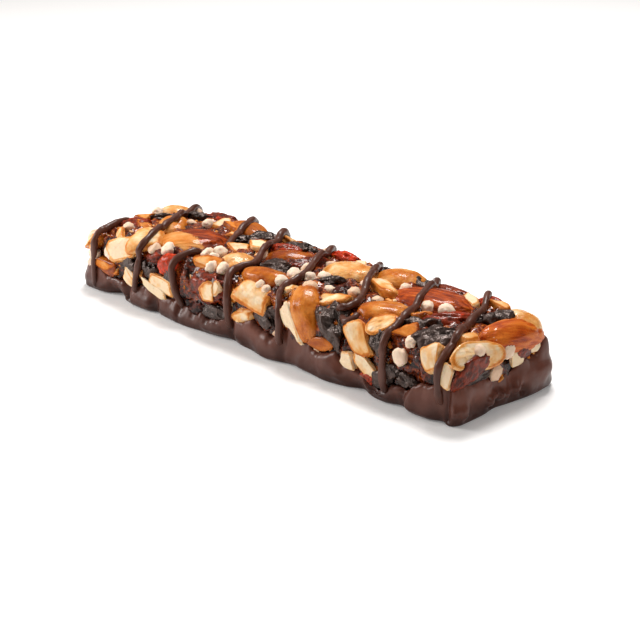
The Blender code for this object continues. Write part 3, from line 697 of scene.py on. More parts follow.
def peanutForm(points, rows, seeds):
    # Blunt oval, wider by blunt * x^2 towards its ends, with a seam along it and shallow lumps.
    x, y, z = points.T
    blunt = (1 + peanuts["blunt"] * x * x)[:, None]
    form = points * np.concatenate([0 * blunt + 1, blunt, blunt], axis=1)
    seam = peanuts["seam"] * np.exp(-(y / peanuts["seamWidth"]) ** 2) * (z > 0)
    lumps = peanuts["lumps"] * layeredNoise(spread(form, seeds, (1.5, 1.5, 1.5)), 3, 4)
    return form[None] * (1 - seam + lumps)[..., None], np.zeros((len(rows), len(points)))


halves = {
    "grid": (48, 60), "height": 0.62, "rise": 1.1, "seed": 33.0,
    "cutHeight": 0.34, "sharpness": 12, "ragged": 0.06, "rough": 0.10, "hollow": 0.12,
    "rows": (
        (57.8, -8.2, 76, 15, 5.4, 0.24, 1.25), (36.8, -12.8, 50, 6.5, 4.5, 0.34),
    ),
}


def halfForm(points, rows, seeds):
    # Ball cut by one plane: r = (1 + (up / cut height)^p)^(-1/p), rough and hollow on the cut.
    power = halves["sharpness"]
    reach = np.maximum(points[:, 2], 0) / halves["cutHeight"]
    radius = (1 + reach ** power) ** (-1 / power)
    form = points * radius[:, None]
    cut = np.clip((reach * radius - 0.90) / 0.08, 0, 1)
    rough = halves["rough"] * layeredNoise(spread(form, seeds, (2.4, 3.4, 3.4)), 3, 5)
    ragged = halves["ragged"] * layeredNoise(spread(form, seeds, (1.6, 1.6, 1.6)), 3, 6)
    form = form[None] * (1 + ragged)[..., None]
    form[..., 2] += cut * (rough - halves["hollow"] * (1 - form[..., 0] ** 2))
    return form, np.broadcast_to(cut, rough.shape)


slices = {
    "grid": (34, 44), "height": 0.42, "rise": 0.9, "seed": 41.0,
    "skew": 0.12, "tilt": 0.15,
    "fresh": [2, 5],  # planes that were cut: its top and bottom
    "rows": (
        (2, -16, -12, 13, 6.6, 0.32, 1.4, -12), (-29.8, -22.6, -14, 10, 2.8, 0.02, 1.3),
        (-41.8, -16.2, 16, 10.2, 6, 0.14, 1.5), (32.6, -17, -50, 9.4, 5.8, 0.34, 1.2),
        (51.2, -15.6, -60, 6.6, 5.2, 0.24, 1.2), (34.8, -21.6, -34, 8, 3.4, 0.22, 1.1),
        (14.6, -19.6, -58, 10.5, 4.2, 0, 2.2, 20), (-45.7, -21, -10, 7, 3.8, 0.4, 1, -30),
        (-45.4, -12.8, -43, 6.5, 3.4, 0.3, 1, 30), (-27.4, -20.6, -4, 9, 4.2, 0.2, 1.4, 12),
        (61.2, 2.6, 84, 4.2, 3.2, 0.04), (60.4, 8.2, 80, 3.4, 3, 0.04), (55.8, -17.2, -74, 5, 3.4, 0.1),
    ),
}
chunks = {
    "grid": (26, 34), "height": 0.95, "rise": 1.2, "seed": 52.0,
    "skew": 0.26, "tilt": 0.6,
    "fresh": [2, 6],  # its top and one of its further planes
    "rows": (
        (-36.4, -12, 24, 13, 8.5, 0.34, 1.7), (20.1, -9.7, 6, 11, 7.2, 0.3, 1.5),
        (-15.3, -12.3, 1, 11.5, 5, 0.46), (24.8, 0.6, -27, 11, 5.6, 0.34, 1.5),
        (42, 8, -27, 9.5, 5, 0.16), (-14.6, 2.8, -42, 9, 5, 0.18), (0.3, -21.4, 10, 9, 4.8, 0.28),
        (43.3, -12.6, 1, 7.5, 4.6, 0.62), (54.5, -8.4, 74, 7, 5.4, 0.38, 1.3),
        (30.2, -22.2, 10, 5.4, 4.4, 0.04), (-38.4, -21.8, -40, 6, 4.5, 0.2),
        (-28.8, 7.6, -16, 7, 5.2, 0.6), (-33, 7.4, 45, 5.5, 5, 0.2), (-16.6, -1.8, 72, 6.5, 4.6, 0.36),
        (-12.8, 11.4, 0, 7, 4.6, 0.26), (-48, -21, -10, 9, 4.2, 0.66), (-52, 0, 0, 5.5, 5, 0.5),
        (-45.4, -5.2, 0, 5, 4, 0.66), (39.4, -5.4, 56, 5.5, 5, 0.5), (47.8, 9.8, 0, 7, 5, 0.42),
        (-53, -15.8, 40, 6.5, 5.5, 0.5), (-56, -14.4, 60, 4.6, 4.2, 0.3, 0.4),
        (-58.4, -7.5, 80, 5, 4.2, 0.6, 0.8), (-11.4, -18.7, 10, 5.8, 5, 0.26, 1.7),
        (-8.6, -17.2, 60, 4, 2.8, 0.2, 1.5),
    ),
}


def blockForm(look):
    # Convex block with soft edges: r = (sum over its planes of (along normal / distance)^p)^(-1/p),
    # then chipped, with torn fibres along it. Its planes are six sides, skewed, and three round it.
    def form(points, rows, seeds):
        draw = np.random.default_rng(11)
        count, power, planes = len(rows), 11, 9
        normals = np.concatenate([np.eye(3), -np.eye(3)])[None].repeat(count, axis=0)
        normals = normals + draw.normal(0, look["skew"], normals.shape)
        around = draw.random((count, planes - 6)) * 2 * np.pi
        tilt = draw.normal(0, look["tilt"], around.shape)
        extra = np.stack([np.cos(around), np.sin(around), tilt], axis=-1)
        normals = unitLength(np.concatenate([normals, extra], axis=1))
        distance = draw.uniform(0.62, 0.80, (count, planes))
        distance[:, 6:] += 0.12
        reach = np.maximum(np.einsum("vk,npk->nvp", points, normals), 0) / distance[:, None]
        radius = (reach ** power).sum(axis=2) ** (-1 / power)
        block = points[None] * radius[..., None]
        chips = 0.075 * layeredNoise(spread(block, seeds, (2.3, 2.3, 2.3)), 4, 7)
        fibres = 0.10 * (creases(spread(block, seeds, (0.9, 3.6, 3.6)), 2, 15) - 0.5)
        block = block * (1 + chips + fibres)[..., None]
        block /= np.abs(block).max(axis=1, keepdims=True)
        cut = np.clip((reach[..., look["fresh"]].max(axis=2) * radius - 0.89) / 0.09, 0, 1)
        return block, cut
    return form


raisins = {
    "grid": (44, 56), "height": 0.72, "rise": 1.2, "seed": 63.0,
    "wrinkles": (0.50, 1.25, 0.26),  # how deep, how close together, how crushed
    "rows": (
        (24.6, -15.6, -58, 14.5, 8.2, 0, 1.4), (51, 5.4, 70, 13, 8.6, 0, 1.6),
        (48.6, -10.6, 48, 12, 7.8, 0, 1.4), (-7.4, 8.4, 18, 11.5, 6.5), (-10, -23, 12, 10, 4),
        (6.2, -19.8, -4, 10, 6.6), (-1.9, -4.2, 34, 10.5, 8, 0, 1.4), (43, -7.8, 30, 10, 6.4, 0, 1.1),
        (13.4, -3, 45, 9, 5.4), (26.2, 10.6, 0, 9, 5.2), (-39.2, -18.8, 15, 8, 5.2),
        (-19.2, 8.2, 15, 9, 6.2), (-20.4, 2.8, 45, 7, 5), (-32, -18.5, 17, 6.5, 5.4),
        (-24.6, -18.8, -80, 5.5, 4.2), (38.1, -16.4, -70, 6.5, 5.2), (-47.8, 1.4, 37, 8, 3.4, 0, 1.1),
        (61.6, -9.2, 90, 8, 4.6), (-42.4, 8, 30, 7, 5.5), (41.8, -21.4, 10, 6, 4, 0, 1.1),
        (46, -22, -10, 5, 3.4, 0, 1.1), (38.6, -23.6, 5, 6.6, 5, 0, 1.1),
    ),
}
berries = {
    "grid": (42, 52), "height": 0.80, "rise": 1.2, "seed": 74.0,
    "wrinkles": (0.26, 2.2, 0.12),
    "rows": (
        (-12.4, -17.6, 3, 15, 10.4, 0.4, 1.4), (45, -1.8, 45, 13.5, 6, 0.5, 1.2),
        (1.9, 1.3, 76, 11, 4.6, 0.36, 1.3), (59.4, -11, 96, 13, 5.2, 0.42, 1.7),
        (-37.4, 12, 10, 14, 6.5, 0.44), (3, 12, 10, 9, 5.2, 0.74), (-8.4, 4.6, 27, 8, 4.2, 0.58, 1.4),
        (-49, -5.4, 45, 8.5, 6, 0.52, 1.1), (-25.7, -15.4, 26, 6.8, 5.4, 0.74, 1.5),
        (-30.2, -14.7, 20, 6.8, 3.6, 0.42), (19.7, -5.8, 80, 6, 4.6, 0.16), (60, 4.4, 76, 7, 4.2, 0.4),
        (44.5, 11, 0, 7.5, 5.4, 0.64), (35.4, -24.6, 30, 5, 3.4, 0.62, 1.2),
    ),
}


def wrinkledForm(look):
    # Ball with folds: r = 1 - 2 * depth * (1 - crease)^1.5 + crush * slow lumps, brought back to size.
    depth, scale, crush = look["wrinkles"]

    def form(points, rows, seeds):
        places = spread(points, seeds, (scale * 1.1, scale, scale))
        bend = layeredNoise(places * 0.6, 2, 8)[..., None]
        crease = creases(places + 0.5 * bend, 3, 1)
        lumps = layeredNoise(spread(points, seeds, (1.1, 1.1, 1.1)), 2, 2)
        radius = 1 - depth * (1 - crease) ** 1.5 * 2 + crush * lumps
        form = points[None] * radius[..., None]
        form /= np.abs(form).max(axis=1, keepdims=True)
        return form, np.clip((crease - 0.45) * 2.2, 0, 1)
    return form


puffs = {
    "grid": (18, 24), "height": 0.94, "rise": 1.6, "seed": 85.0,
    "lumps": 0.17, "dents": 0.10,
    "places": (  # along, across, size, tint and, where it isn't 1, the share of the rise
        (-28.2, -12.6, 4, 0.05), (-31.7, -13.6, 3.6, 0.45), (-18.8, -9, 3.6, 0.04), (-17.3, -6.8, 4, 0),
        (-15.4, -10.4, 3.2, 0.05), (-13.1, -13, 3.6, 0.06), (-9.8, -12.6, 3.4, 0.12),
        (4.1, -0.9, 3.4, 0.3), (4.8, -5.6, 4, 0.02), (8.8, -4.6, 3.8, 0.04), (10.4, -2.2, 3.4, 0.04),
        (13.4, -9.2, 4, 0.65), (6, -10.2, 4.2, 0.08), (21.9, -5.2, 3.6, 0.5), (38, -0.8, 3.6, 0.12),
        (41.8, 0.6, 4, 0.1), (45.3, -14.2, 3, 0.15), (43.9, -17.6, 3.9, 0.22),
        (57.2, -8.4, 3.2, 0.3, 1.6), (59.2, 0, 4, 0.3), (62.4, -3.6, 4, 0.5), (-46.2, -17.5, 3.4, 0.15),
        (-46.9, -9, 3.2, 0.35), (-52, -18.8, 4.2, 0.12), (-53.6, -21.4, 3.6, 0.12), (-35.2, 5, 3.2, 0.15),
        (27.4, 4.4, 3.2, 0.2), (-53, 4.4, 4, 0.1), (-57.6, -11.6, 4.2, 0.05), (2.6, -13.2, 2.6, 0.2),
        (4.8, -13.8, 2.4, 0.3),
    ),
}
puffs["rows"] = tuple((along, across, 31 * size, 0.88 * size, 0.80 * size, *rest)
                      for along, across, size, *rest in puffs["places"])


def puffForm(points, rows, seeds):
    # Ball with rounded lumps and sharp dents: r = 1 + lumps * noise - dents * crease^6.
    lumps = puffs["lumps"] * layeredNoise(spread(points, seeds, (1.7, 1.7, 1.7)), 3, 2) \
        - puffs["dents"] * creases(spread(points, seeds, (1.5, 1.5, 1.5)), 1, 3) ** 6
    return points[None] * (1 + lumps)[..., None], np.zeros(lumps.shape)


# Rule for the pieces between and behind those, the largest first:
# kind, tries, shortest, longest, width as a share of length, and how far back they begin.
fillRule = {
    "seed": 7,
    "limit": (64.5, 24.0),
    "corner": (52.0, 11.0),  # none further out than both
    "end": 54.0,  # those past it lie across the end
    "overlap": 0.80,
    "turn": 50.0,  # at most, to either side
    "lift": 0.5,  # share of the kind's rise
    "inSkin": 0.7,  # share of the almonds in their skin
    "kinds": (
        (almonds, 60, 17.0, 20.0, 0.52, 15.0),
        (peanuts, 150, 8.5, 12.0, 0.66, 6.0),
        (raisins, 150, 7.0, 10.5, 0.62, 2.0),
        (berries, 110, 6.5, 10.0, 0.52, -24.0),
        (chunks, 360, 4.0, 7.0, 0.72, -24.0),
        (puffs, 160, 2.6, 3.2, 0.94, -24.0),
    ),
}


def isFree(along, across, reach, taken):
    # A round piece is free where it keeps off every taken oval:
    # |offset / (half sizes + reach)| >= overlap.
    angle = np.radians(taken[:, 2])
    out = along - taken[:, 0]
    over = across - taken[:, 1]
    lengthways = (out * np.cos(angle) + over * np.sin(angle)) / (taken[:, 3] / 2 + reach)
    crossways = (over * np.cos(angle) - out * np.sin(angle)) / (taken[:, 4] / 2 + reach)
    return bool((np.hypot(lengthways, crossways) >= fillRule["overlap"]).all())


def addFillers():
    # Seeded draws of place, turn and size, each kept only where it is free.
    draw = np.random.default_rng(fillRule["seed"])
    tints = np.random.default_rng(fillRule["seed"] + 1)
    kinds = (almonds, peanuts, halves, slices, chunks, raisins, berries)
    taken = [row[:5] for kind in kinds for row in kind["rows"]]
    taken += [(row[0], row[1], 0.0, row[3], row[3]) for row in puffs["rows"]]
    for kind, tries, shortest, longest, share, nearest in fillRule["kinds"]:
        fillers = []
        for along, across, turn, size in draw.random((tries, 4)):
            along = (2 * along - 1) * fillRule["limit"][0]
            across = (2 * across - 1) * fillRule["limit"][1]
            length = shortest + (longest - shortest) * size
            atCorner = abs(along) > fillRule["corner"][0] and abs(across) > fillRule["corner"][1]
            if atCorner or across < nearest:
                continue
            if isFree(along, across, length * share ** 0.5 / 2, np.array(taken)):
                turn = (2 * turn - 1) * fillRule["turn"] + 90 * (abs(along) > fillRule["end"])
                taken.append((along, across, turn, length, length * share))
                tint, last = tints.random(2) * (0.6, 1) + (0.12, 0)
                inSkin = float(last < fillRule["inSkin"])
                fillers.append((*taken[-1], tint, fillRule["lift"], 0, inSkin))
        kind["rows"] += tuple(fillers)
        print("filled in", len(fillers))


addFillers()

kinds = (
    ("almonds", almonds, almondForm, "skin"),
    ("peanuts", peanuts, peanutForm, "nut"),
    ("nutHalves", halves, halfForm, "nut"),
    ("nutSlices", slices, blockForm(slices), "nut"),
    ("nutChunks", chunks, blockForm(chunks), "nut"),
    ("raisins", raisins, wrinkledForm(raisins), "raisin"),
    ("redBerries", berries, wrinkledForm(berries), "berry"),
    ("ricePuffs", puffs, puffForm, "puff"),
)
nuts = [addPiece(buildKind(name, look, fullRows(look["rows"]), shape, materials[finish]),
                 "nut_cluster") for name, look, shape, finish in kinds]

# Crumbs of nut between the pieces.
crumbs = {
    "grid": (8, 10), "height": 0.8, "rise": 1.0, "seed": 96.0,
    "drawSeed": 5, "count": 900, "smallest": 0.8, "largest": 2.8,
    "highest": 0.1, "deepest": 1.2,  # shares of the rise
    "lowest": 5.0,  # none lower than this
    "corner": (55.0, 12.5),  # none further out than both
}


def crumbRows():
    # Seeded draws of place, size, turn, depth and tint, more of the small ones: smallest + span * u^2.
    draw = np.random.default_rng(crumbs["drawSeed"])
    share = draw.random((crumbs["count"], 6))
    size = crumbs["smallest"] + (crumbs["largest"] - crumbs["smallest"]) * share[:, 2] ** 2
    rows = np.stack([(2 * share[:, 0] - 1) * 65, (2 * share[:, 1] - 1) * 23, share[:, 3] * 180,
                     size * 1.3, size, 0.05 + share[:, 5] * 0.6,
                     crumbs["highest"] - crumbs["deepest"] * share[:, 4], share[:, 3] * 90], axis=1)
    height = surfaceFrame(rows[:, 0], rows[:, 1])[0][:, 2]
    atCorner = (np.abs(rows[:, :2]) > crumbs["corner"]).all(axis=1)
    return rows[(height > crumbs["lowest"]) & ~atCorner]


nuts.append(addPiece(buildKind("nutCrumbs", crumbs, crumbRows(), blockForm(chunks), materials["nut"]),
                     "nut_cluster"))

# The paste of syrup and fruit that holds the pieces.
paste = {
    "depth": 1.0,  # under the slab's surface
    "floor": 2.6,
    "stations": 360, "sides": 220,
    "corners": 0.45,  # power that squares the section
    "lumps": 0.9, "grit": 1.1,
}


def loaf():
    # Sections carried along X: y = +-|cos b|^p and z = +-|sin b|^p, a rounded rectangle, and they
    # shrink at both ends as (1 - |t|^14)^(1/6). Lumps and creases then push its points in and out.
    top = bar["top"] - paste["depth"]
    half = np.array([bar["slabLength"] / 2 - paste["depth"], bar["slabWidth"] / 2 - paste["depth"],
                     (top - paste["floor"]) / 2])
    a = np.pi * np.arange(1, paste["stations"])[:, None] / paste["stations"]
    b = 2 * np.pi * np.arange(paste["sides"])[None, :] / paste["sides"]
    t = np.sign(np.cos(a)) * np.abs(np.cos(a)) ** 0.9
    size = (1 - np.abs(t) ** 14) ** (1 / 6)
    y = np.sign(np.cos(b)) * np.abs(np.cos(b)) ** paste["corners"]
    z = np.sign(np.sin(b)) * np.abs(np.sin(b)) ** paste["corners"]
    body = np.stack([t + 0 * b, size * y, size * z], axis=-1).reshape(-1, 3)
    points = np.concatenate([[[1, 0, 0]], body, [[-1, 0, 0]]]) * half
    points[:, 2] += (top + paste["floor"]) / 2
    _, quads, tris = ballGrid(paste["stations"], paste["sides"])
    outwards = unitLength(points / half ** 2 - np.array([0, 0, (top + paste["floor"]) / 2]) / half ** 2)
    lumps = paste["lumps"] * layeredNoise(points * 0.45, 2, 12) \
        + paste["grit"] * creases(points * 0.7, 3, 13)
    points = points + outwards * lumps[:, None]
    points[:, 2] -= endFall(points[:, 0]) * np.clip(points[:, 2] / top, 0, 1)
    return makeObject("syrupPaste", points, [quads, tris], {"grain": points}, materials["syrup"])


nuts.append(addPiece(loaf(), "nut_cluster"))

# The chocolate that the bar was dipped in.
coat = {
    "stations": 1000,
    "rows": 44,
    "profile": (  # foot to rim: push outwards, share of the lobes, share of the rim's height, height
        (-0.9, 1, 0, 0), (-0.4, 0.95, 0, 0.3), (-0.12, 0.9, 0, 1), (0, 0.7, 0.35, 0.3),
        (-0.1, 0.4, 0.65, 0), (-0.32, 0.2, 1, -0.75), (-0.7, 0.12, 1, -0.14), (-1.15, 0.05, 1, 0),
        (-1.75, 0, 1, -0.35), (-2.6, 0, 1, -1.3), (-4.6, 0, 0, 2.2),
    ),
    "footLobes": (  # x, y, reach, push outwards
        (-45, -16.8, 2.8, -1.9), (-35, -16.8, 5, 0.4), (-29.6, -16.8, 1.6, -0.6), (-20, -16.8, 6, 0.6),
        (-5.5, -16.8, 3.4, -0.8), (7, -16.8, 3.6, 0.7), (14.5, -16.8, 2.4, -0.4), (24, -16.8, 3.4, 0.5),
        (33, -16.8, 2.6, -1.2), (43.5, -16.8, 2, -0.8), (54, -16.8, 1.8, -0.8), (59, -2.5, 3, -0.5),
        (59, 8, 4, 0.3), (40, 16.8, 4, 0.4), (18, 16.8, 3, -0.9), (-6, 16.8, 5, 0.5),
        (-28, 16.8, 3, -0.9), (-59, 2, 4, -0.6),
    ),
    "beads": (  # x, y, z, reach, height
        (59, -5.5, 2.8, 0.9, 1.6), (59, -3.9, 3.6, 0.7, 0.9), (59, -2.2, 3.1, 0.9, 1.5),
        (59, -3.8, 1.6, 1, -1.2), (59, -0.2, 2.6, 1, 0.8), (59, 2.4, 3.2, 1.2, 1.3),
        (59, 4.6, 2.2, 1.2, -0.8), (59, 6.9, 2.4, 1.2, 1.3), (59, 10.4, 4, 1.6, 0.8),
        (59, -9.6, 3, 2, -0.8), (59, -13.2, 2.8, 1.3, 1.2), (58, -15.6, 3, 1, 0.9),
        (59, -3.6, 5.6, 1.6, -0.6), (-21.5, -16.8, 1.6, 1.3, 0.6), (28, -16.8, 2.4, 1.4, 0.6),
        (-31, -16.8, 2, 1.8, 0.5), (8, -16.8, 2.2, 2.2, 0.5), (46.5, -16.8, 2, 1.8, 0.5),
        (-2, -16.8, 1.8, 1.6, 0.4),
    ),
    "notches": (  # x, y, reach, push outwards
        (-39.6, -16.8, 1, -1.5), (-29.5, -16.8, 0.9, -0.6), (-21.1, -16.8, 0.9, -0.7),
        (-4.2, -16.8, 1, -0.7), (12, -16.8, 1, -0.6), (36.8, -16.8, 1, -0.8), (44.9, -16.8, 0.9, -0.8),
        (56.4, -16.8, 1.2, -1.1), (59, 1.5, 1.2, -0.6), (30, 16.8, 1, -0.8), (9, 16.8, 1, -0.7),
        (-19, 16.8, 1, -1), (-46, 16.8, 1, -0.8), (-59, 7, 1, -0.7),
    ),
    "inset": 0.85,  # of the wall from the bar's plan
    "softness": 0.5,  # of the press at the plan
    "lobeScale": 1.5, "flutes": 0.55, "lumps": 0.15, "rimGrit": 0.9,
}


def outline(count):
    # Even steps round the rounded rectangle of the plan, as places and outward directions.
    radius = bar["cornerRadius"]
    inner = np.array([bar["length"] / 2 - radius, bar["width"] / 2 - radius])
    straight = 2 * inner[[0, 1, 0, 1]]
    arc = radius * np.pi / 2
    starts = np.concatenate([[0], np.cumsum(straight + arc)])
    distance = np.arange(count) / count * starts[-1]
    side = np.searchsorted(starts, distance, side="right") - 1
    walked = distance - starts[side]
    onArc = np.maximum(walked - straight[side], 0) / radius
    heading = side * np.pi / 2
    corners = np.array([[-1, -1], [1, -1], [1, 1], [-1, 1]]) * inner
    ahead = np.stack([np.cos(heading), np.sin(heading)], axis=-1)
    start = corners[side] + ahead * np.minimum(walked, straight[side])[:, None]
    outwards = np.stack([np.sin(heading + onArc), -np.cos(heading + onArc)], axis=-1)
    return start + outwards * radius, outwards


def smoothRows(knots, count):
    # Catmull-Rom curve through rows of numbers, in even steps of its parameter.
    knots = np.concatenate([2 * knots[:1] - knots[1:2], knots, 2 * knots[-1:] - knots[-2:-1]])
    place = np.linspace(0, len(knots) - 3, count)
    first = np.minimum(place.astype(int), len(knots) - 4)
    t = (place - first).reshape((-1,) + (1,) * (knots.ndim - 1))
    before, start, end, after = (knots[first + step] for step in range(4))
    return 0.5 * (2 * start + (end - before) * t + (2 * before - 5 * start + 4 * end - after) * t ** 2
                  + (3 * start - before - 3 * end + after) * t ** 3)


def coatMesh():
    # A wall profile, foot to rim and over into the slab, set round the plan; the rim's height, the
    # foot's lobes, flutes, beads and notches vary along it. A push outwards p is held back to
    # soft * (tanh(p / soft + 1) - 1). The inner edge closes inside the paste.
    places, outwards = outline(coat["stations"])
    ring = np.concatenate([places, 0 * places[:, :1]], axis=1)
    top = rimHeight(places) + coat["rimGrit"] * layeredNoise(ring * 0.42, 3, 31)
    foot = waves(places, coat["footLobes"])
    knots = np.stack([np.stack([push + 0 * top, lobes + 0 * top, share * top + height])
                      for push, lobes, share, height in coat["profile"]])
    sideways, share, height = np.moveaxis(smoothRows(knots, coat["rows"]), 1, 0)
    height = np.maximum(height, 0)
    points = np.concatenate([places + outwards * sideways[..., None], height[..., None]], axis=-1)
    outer = np.clip(height / 1.2, 0, 1) * np.clip(1.3 + sideways, 0, 1)
    bulge = coat["flutes"] * layeredNoise(points * np.array([0.12, 0.12, 0.22]), 2, 32) \
        + coat["lumps"] * layeredNoise(points * 0.36, 2, 33) + waves(points, coat["beads"]) \
        + waves(places, coat["notches"])
    shift = sideways - coat["inset"] + coat["lobeScale"] * share * foot + bulge * outer
    soft = coat["softness"]
    shift = np.where(shift > -soft, soft * np.tanh(shift / soft + 1) - soft, shift)
    points[..., :2] = places + outwards * shift[..., None]
    here = np.arange(coat["stations"])
    bottom = here[::-1][None]
    lid = (here + (coat["rows"] - 1) * coat["stations"])[None]
    points = points.reshape(-1, 3)
    faces = [ringQuads(coat["rows"], coat["stations"]), bottom, lid]
    return makeObject("chocolateCoat", points, faces, {"grain": points}, materials["coat"])


base = addPiece(coatMesh(), "chocolate_base")

# Chocolate strands over the top.
strands = {
    "radius": 0.78,
    "sink": 0.30,  # share of its thickness that lies in the pieces
    "inset": 0.72,
    "ceiling": 17.8,
    "softness": 0.3,
    "step": 0.35,
    "sides": 28,
    "hold": 1.3,  # a strand bridges dips narrower than about twice this
    "dive": 1.6,  # how far from its ends a strand starts to run into what it lies on
    "diveDepth": 1.3,  # in radii
    "wobble": 0.22,
    "reach": 8.0,  # how far over the slab the search for its height starts
    "paths": (  # places (along, across) that each strand runs over
        ((-52.8, -3.0), (-52.0, -7.5), (-51.4, -11.0), (-51.0, -14.0), (-51.2, -18.0),
         (-51.6, -22.0), (-51.4, -27.0)),
        ((-52.0, 18.0), (-47.6, 12.0), (-45.0, 7.0), (-41.0, 0.5), (-38.5, -5.0), (-36.0, -9.5),
         (-34.2, -13.0), (-35.0, -17.0), (-36.0, -21.0), (-36.5, -24.8)),
        ((-21.5, -8.5), (-21.8, -11.5), (-23.0, -15.0), (-22.8, -18.5), (-20.8, -25.2)),
        ((-31.0, 17.0), (-26.0, 10.0), (-23.5, 4.5), (-19.0, -3.0)),
        ((-20.0, 17.0), (-15.5, 10.5), (-13.0, 5.5), (-10.0, -0.5), (-6.0, -7.3), (-6.4, -10.6),
         (-7.0, -12.5), (-5.2, -17.0), (-5.0, -25.6)),
        ((-5.0, 17.0), (-0.5, 10.5), (3.0, 3.5), (7.3, -5.0), (8.3, -10.0), (8.8, -13.5),
         (10.8, -17.5), (11.0, -24.5)),
        ((8.0, 17.0), (14.0, 11.0), (17.5, 5.5), (22.5, -2.5), (26.0, -8.0), (26.4, -11.6),
         (24.8, -12.8)),
        ((25.8, -13.4), (28.2, -14.6), (29.8, -13.6), (29.4, -11.8)),
        ((24.0, 17.0), (30.0, 11.0), (33.0, 5.0), (36.3, -2.0), (38.5, -8.0), (39.8, -12.0),
         (39.9, -16.0), (40.2, -26.2)),
        ((37.5, 17.5), (43.0, 11.5), (46.8, 5.5), (49.2, -1.0), (53.0, -9.5), (53.8, -13.0),
         (53.7, -17.0), (53.9, -24.4)),
    ),
}


def drape(path, trees):
    # Points of a strand over the pieces: rays find their height, the highest nearby one holds the
    # strand up, and a weighted running mean takes out the corners. Its ends sink by
    # diveDepth * exp(-(distance / dive)^2).
    knots = np.array(path)
    length = np.linalg.norm(np.diff(knots, axis=0), axis=1).sum()
    places = smoothRows(knots, int(length / strands["step"]))
    origin, _, _, normal = surfaceFrame(places[:, 0], places[:, 1])
    reach = strands["reach"]
    rise = np.zeros(len(places))
    for number, (start, out) in enumerate(zip(origin, normal)):
        ray = Vector(start + out * reach) * mm
        for tree in trees:
            distance = tree.ray_cast(ray, -Vector(out), 2 * reach * mm)[3]
            if distance is not None:
                rise[number] = max(rise[number], reach - distance / mm)
    width = round(strands["hold"] / strands["step"])
    padded = np.pad(rise, width, mode="edge")
    held = np.lib.stride_tricks.sliding_window_view(padded, 2 * width + 1).max(axis=1)
    weights = np.hanning(2 * width + 3)[1:-1]
    held = np.convolve(np.pad(held, width, mode="edge"), weights / weights.sum(), "valid")
    gap = np.minimum(np.arange(len(places)), np.arange(len(places))[::-1]) * strands["step"]
    dive = strands["diveDepth"] * np.exp(-(gap / strands["dive"]) ** 2)
    lift = strands["radius"] * (1 - 2 * strands["sink"] - dive)
    points = origin + normal * (held + lift)[:, None]
    highest = strands["ceiling"] - strands["radius"]
    return keepInside(points, strands["inset"], 0.0, highest, strands["softness"]), normal


def strandMesh(trees):
    # A circle carried along every draped path: centre + radius * (normal cos b + side sin b).
    # The radius wanders a little and closes round at both ends.
    points, faces, first = [], [], 0
    sides = strands["sides"]
    b = 2 * np.pi * np.arange(sides) / sides
    for number, path in enumerate(strands["paths"]):
        centre, normal = drape(path, trees)
        ahead = unitLength(np.gradient(centre, axis=0))
        side = unitLength(np.cross(ahead, normal))
        normal = np.cross(side, ahead)
        count = len(centre)
        gap = np.minimum(np.arange(count), np.arange(count)[::-1]) * strands["step"]
        tip = np.sqrt(np.clip(1 - (1 - np.minimum(gap / strands["radius"], 1)) ** 2, 0.02, 1))
        seed = centre * 0.55 + number * 7
        radius = strands["radius"] * tip * (1 + strands["wobble"] * layeredNoise(seed, 2, 41))
        ring = centre[:, None] + radius[:, None, None] * (
            normal[:, None] * np.cos(b)[:, None] + side[:, None] * np.sin(b)[:, None])
        points.append(keepInside(ring.reshape(-1, 3), 0.0, 0.0, strands["ceiling"],
                                 strands["softness"]))
        here = first + np.arange(sides)
        faces += [ringQuads(count, sides, first), here[::-1][None], here[None] + (count - 1) * sides]
        first += count * sides
    points = np.concatenate(points)
    return makeObject("chocolateStrands", points, faces, {"grain": points}, materials["strand"])


bpy.context.view_layer.update()
graph = bpy.context.evaluated_depsgraph_get()
trees = [BVHTree.FromObject(item, graph) for item in (*nuts, base)]
addPiece(strandMesh(trees), "nut_cluster")

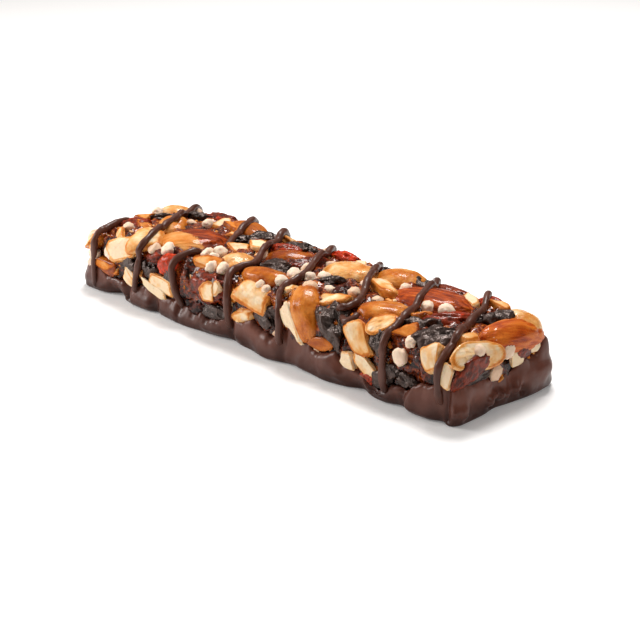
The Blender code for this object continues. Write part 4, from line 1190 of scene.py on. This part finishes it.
# Floor, lights and camera.
stage = {
    "floor": 3.0,
    "floorColour": (0.90, 0.90, 0.90),
    "floorGlow": 0.12,
    "skyTilt": (-0.45, -0.20, 0.87),  # where the sky is brightest
    "sky": ((0.0, (0.02, 0.02, 0.02)), (0.30, (0.11, 0.105, 0.10)), (1.0, (0.60, 0.575, 0.55))),
    "lightTint": (1.0, 0.975, 0.955),
    "lights": (  # name, place, size, power in watts, aim
        ("overhead", (-0.12, 0.20, 0.55), 0.20, 3.65, (0, 0, 0)),
        ("frontLeft", (-0.27, -0.18, 0.14), 0.13, 0.74, (-0.05, 0, 0)),
        ("endGlint", (0.42, 0.10, 0.26), 0.05, 0.3, (0.06, 0, 0)),
    ),
    "lens": 82.9,
    "camera": (0.21638, -0.20869, 0.11645),
    "right": (0.7059, 0.7083, 0.0),
    "up": (-0.2515, 0.2507, 0.9348),
    "back": (0.6621, -0.6599, 0.3551),
}


def floorPaint(graph):
    place = graph.node("ShaderNodeTexCoord", {}, {}, "Object")
    tone = fineNoise(graph, place, 3.0, 1.0)
    return {"Roughness": 0.85 + tone.swing(0.05)}


def makeStage():
    half = stage["floor"] / 2 / mm
    corners = np.array([(-1, -1, 0), (1, -1, 0), (1, 1, 0), (-1, 1, 0)]) * half
    material = makeMaterial("paleFloor", {"Base Color": (*stage["floorColour"], 1),
                                          "Specular IOR Level": 0.1,
                                          "Emission Color": (1, 1, 1, 1),
                                          "Emission Strength": stage["floorGlow"]}, floorPaint)
    floor = makeObject("floor", corners, [np.array([[0, 1, 2, 3]])], {}, material)
    world = bpy.data.worlds.new("studio")
    bpy.context.scene.world = world
    world.use_nodes = True
    graph = Link(world.node_tree)
    sight = graph.node("ShaderNodeTexCoord", {}, {}, "Generated")
    height = graph.node("ShaderNodeVectorMath", {"operation": "DOT_PRODUCT"},
                        {0: sight, 1: stage["skyTilt"]}, "Value")
    background = world.node_tree.nodes["Background"]
    world.node_tree.links.new(ramp(graph, height, stage["sky"]).socket, background.inputs["Color"])
    for name, place, size, power, aim in stage["lights"]:
        light = bpy.data.lights.new(name, "AREA")
        light.size = size
        light.energy = power
        light.color = stage["lightTint"]
        item = linkObject(name, light)
        item.location = place
        item.rotation_euler = (Vector(place) - Vector(aim)).to_track_quat("Z", "Y").to_euler()
    camera = bpy.data.cameras.new("camera")
    camera.lens = stage["lens"]
    camera.sensor_width = 36.0
    camera.clip_start = 0.01
    item = linkObject("camera", camera)
    turn = Matrix((stage["right"], stage["up"], stage["back"])).transposed().to_4x4()
    item.matrix_world = Matrix.Translation(stage["camera"]) @ turn
    bpy.context.scene.camera = item
    bpy.context.scene.view_settings.view_transform = "Standard"


makeStage()
print("scene ready")
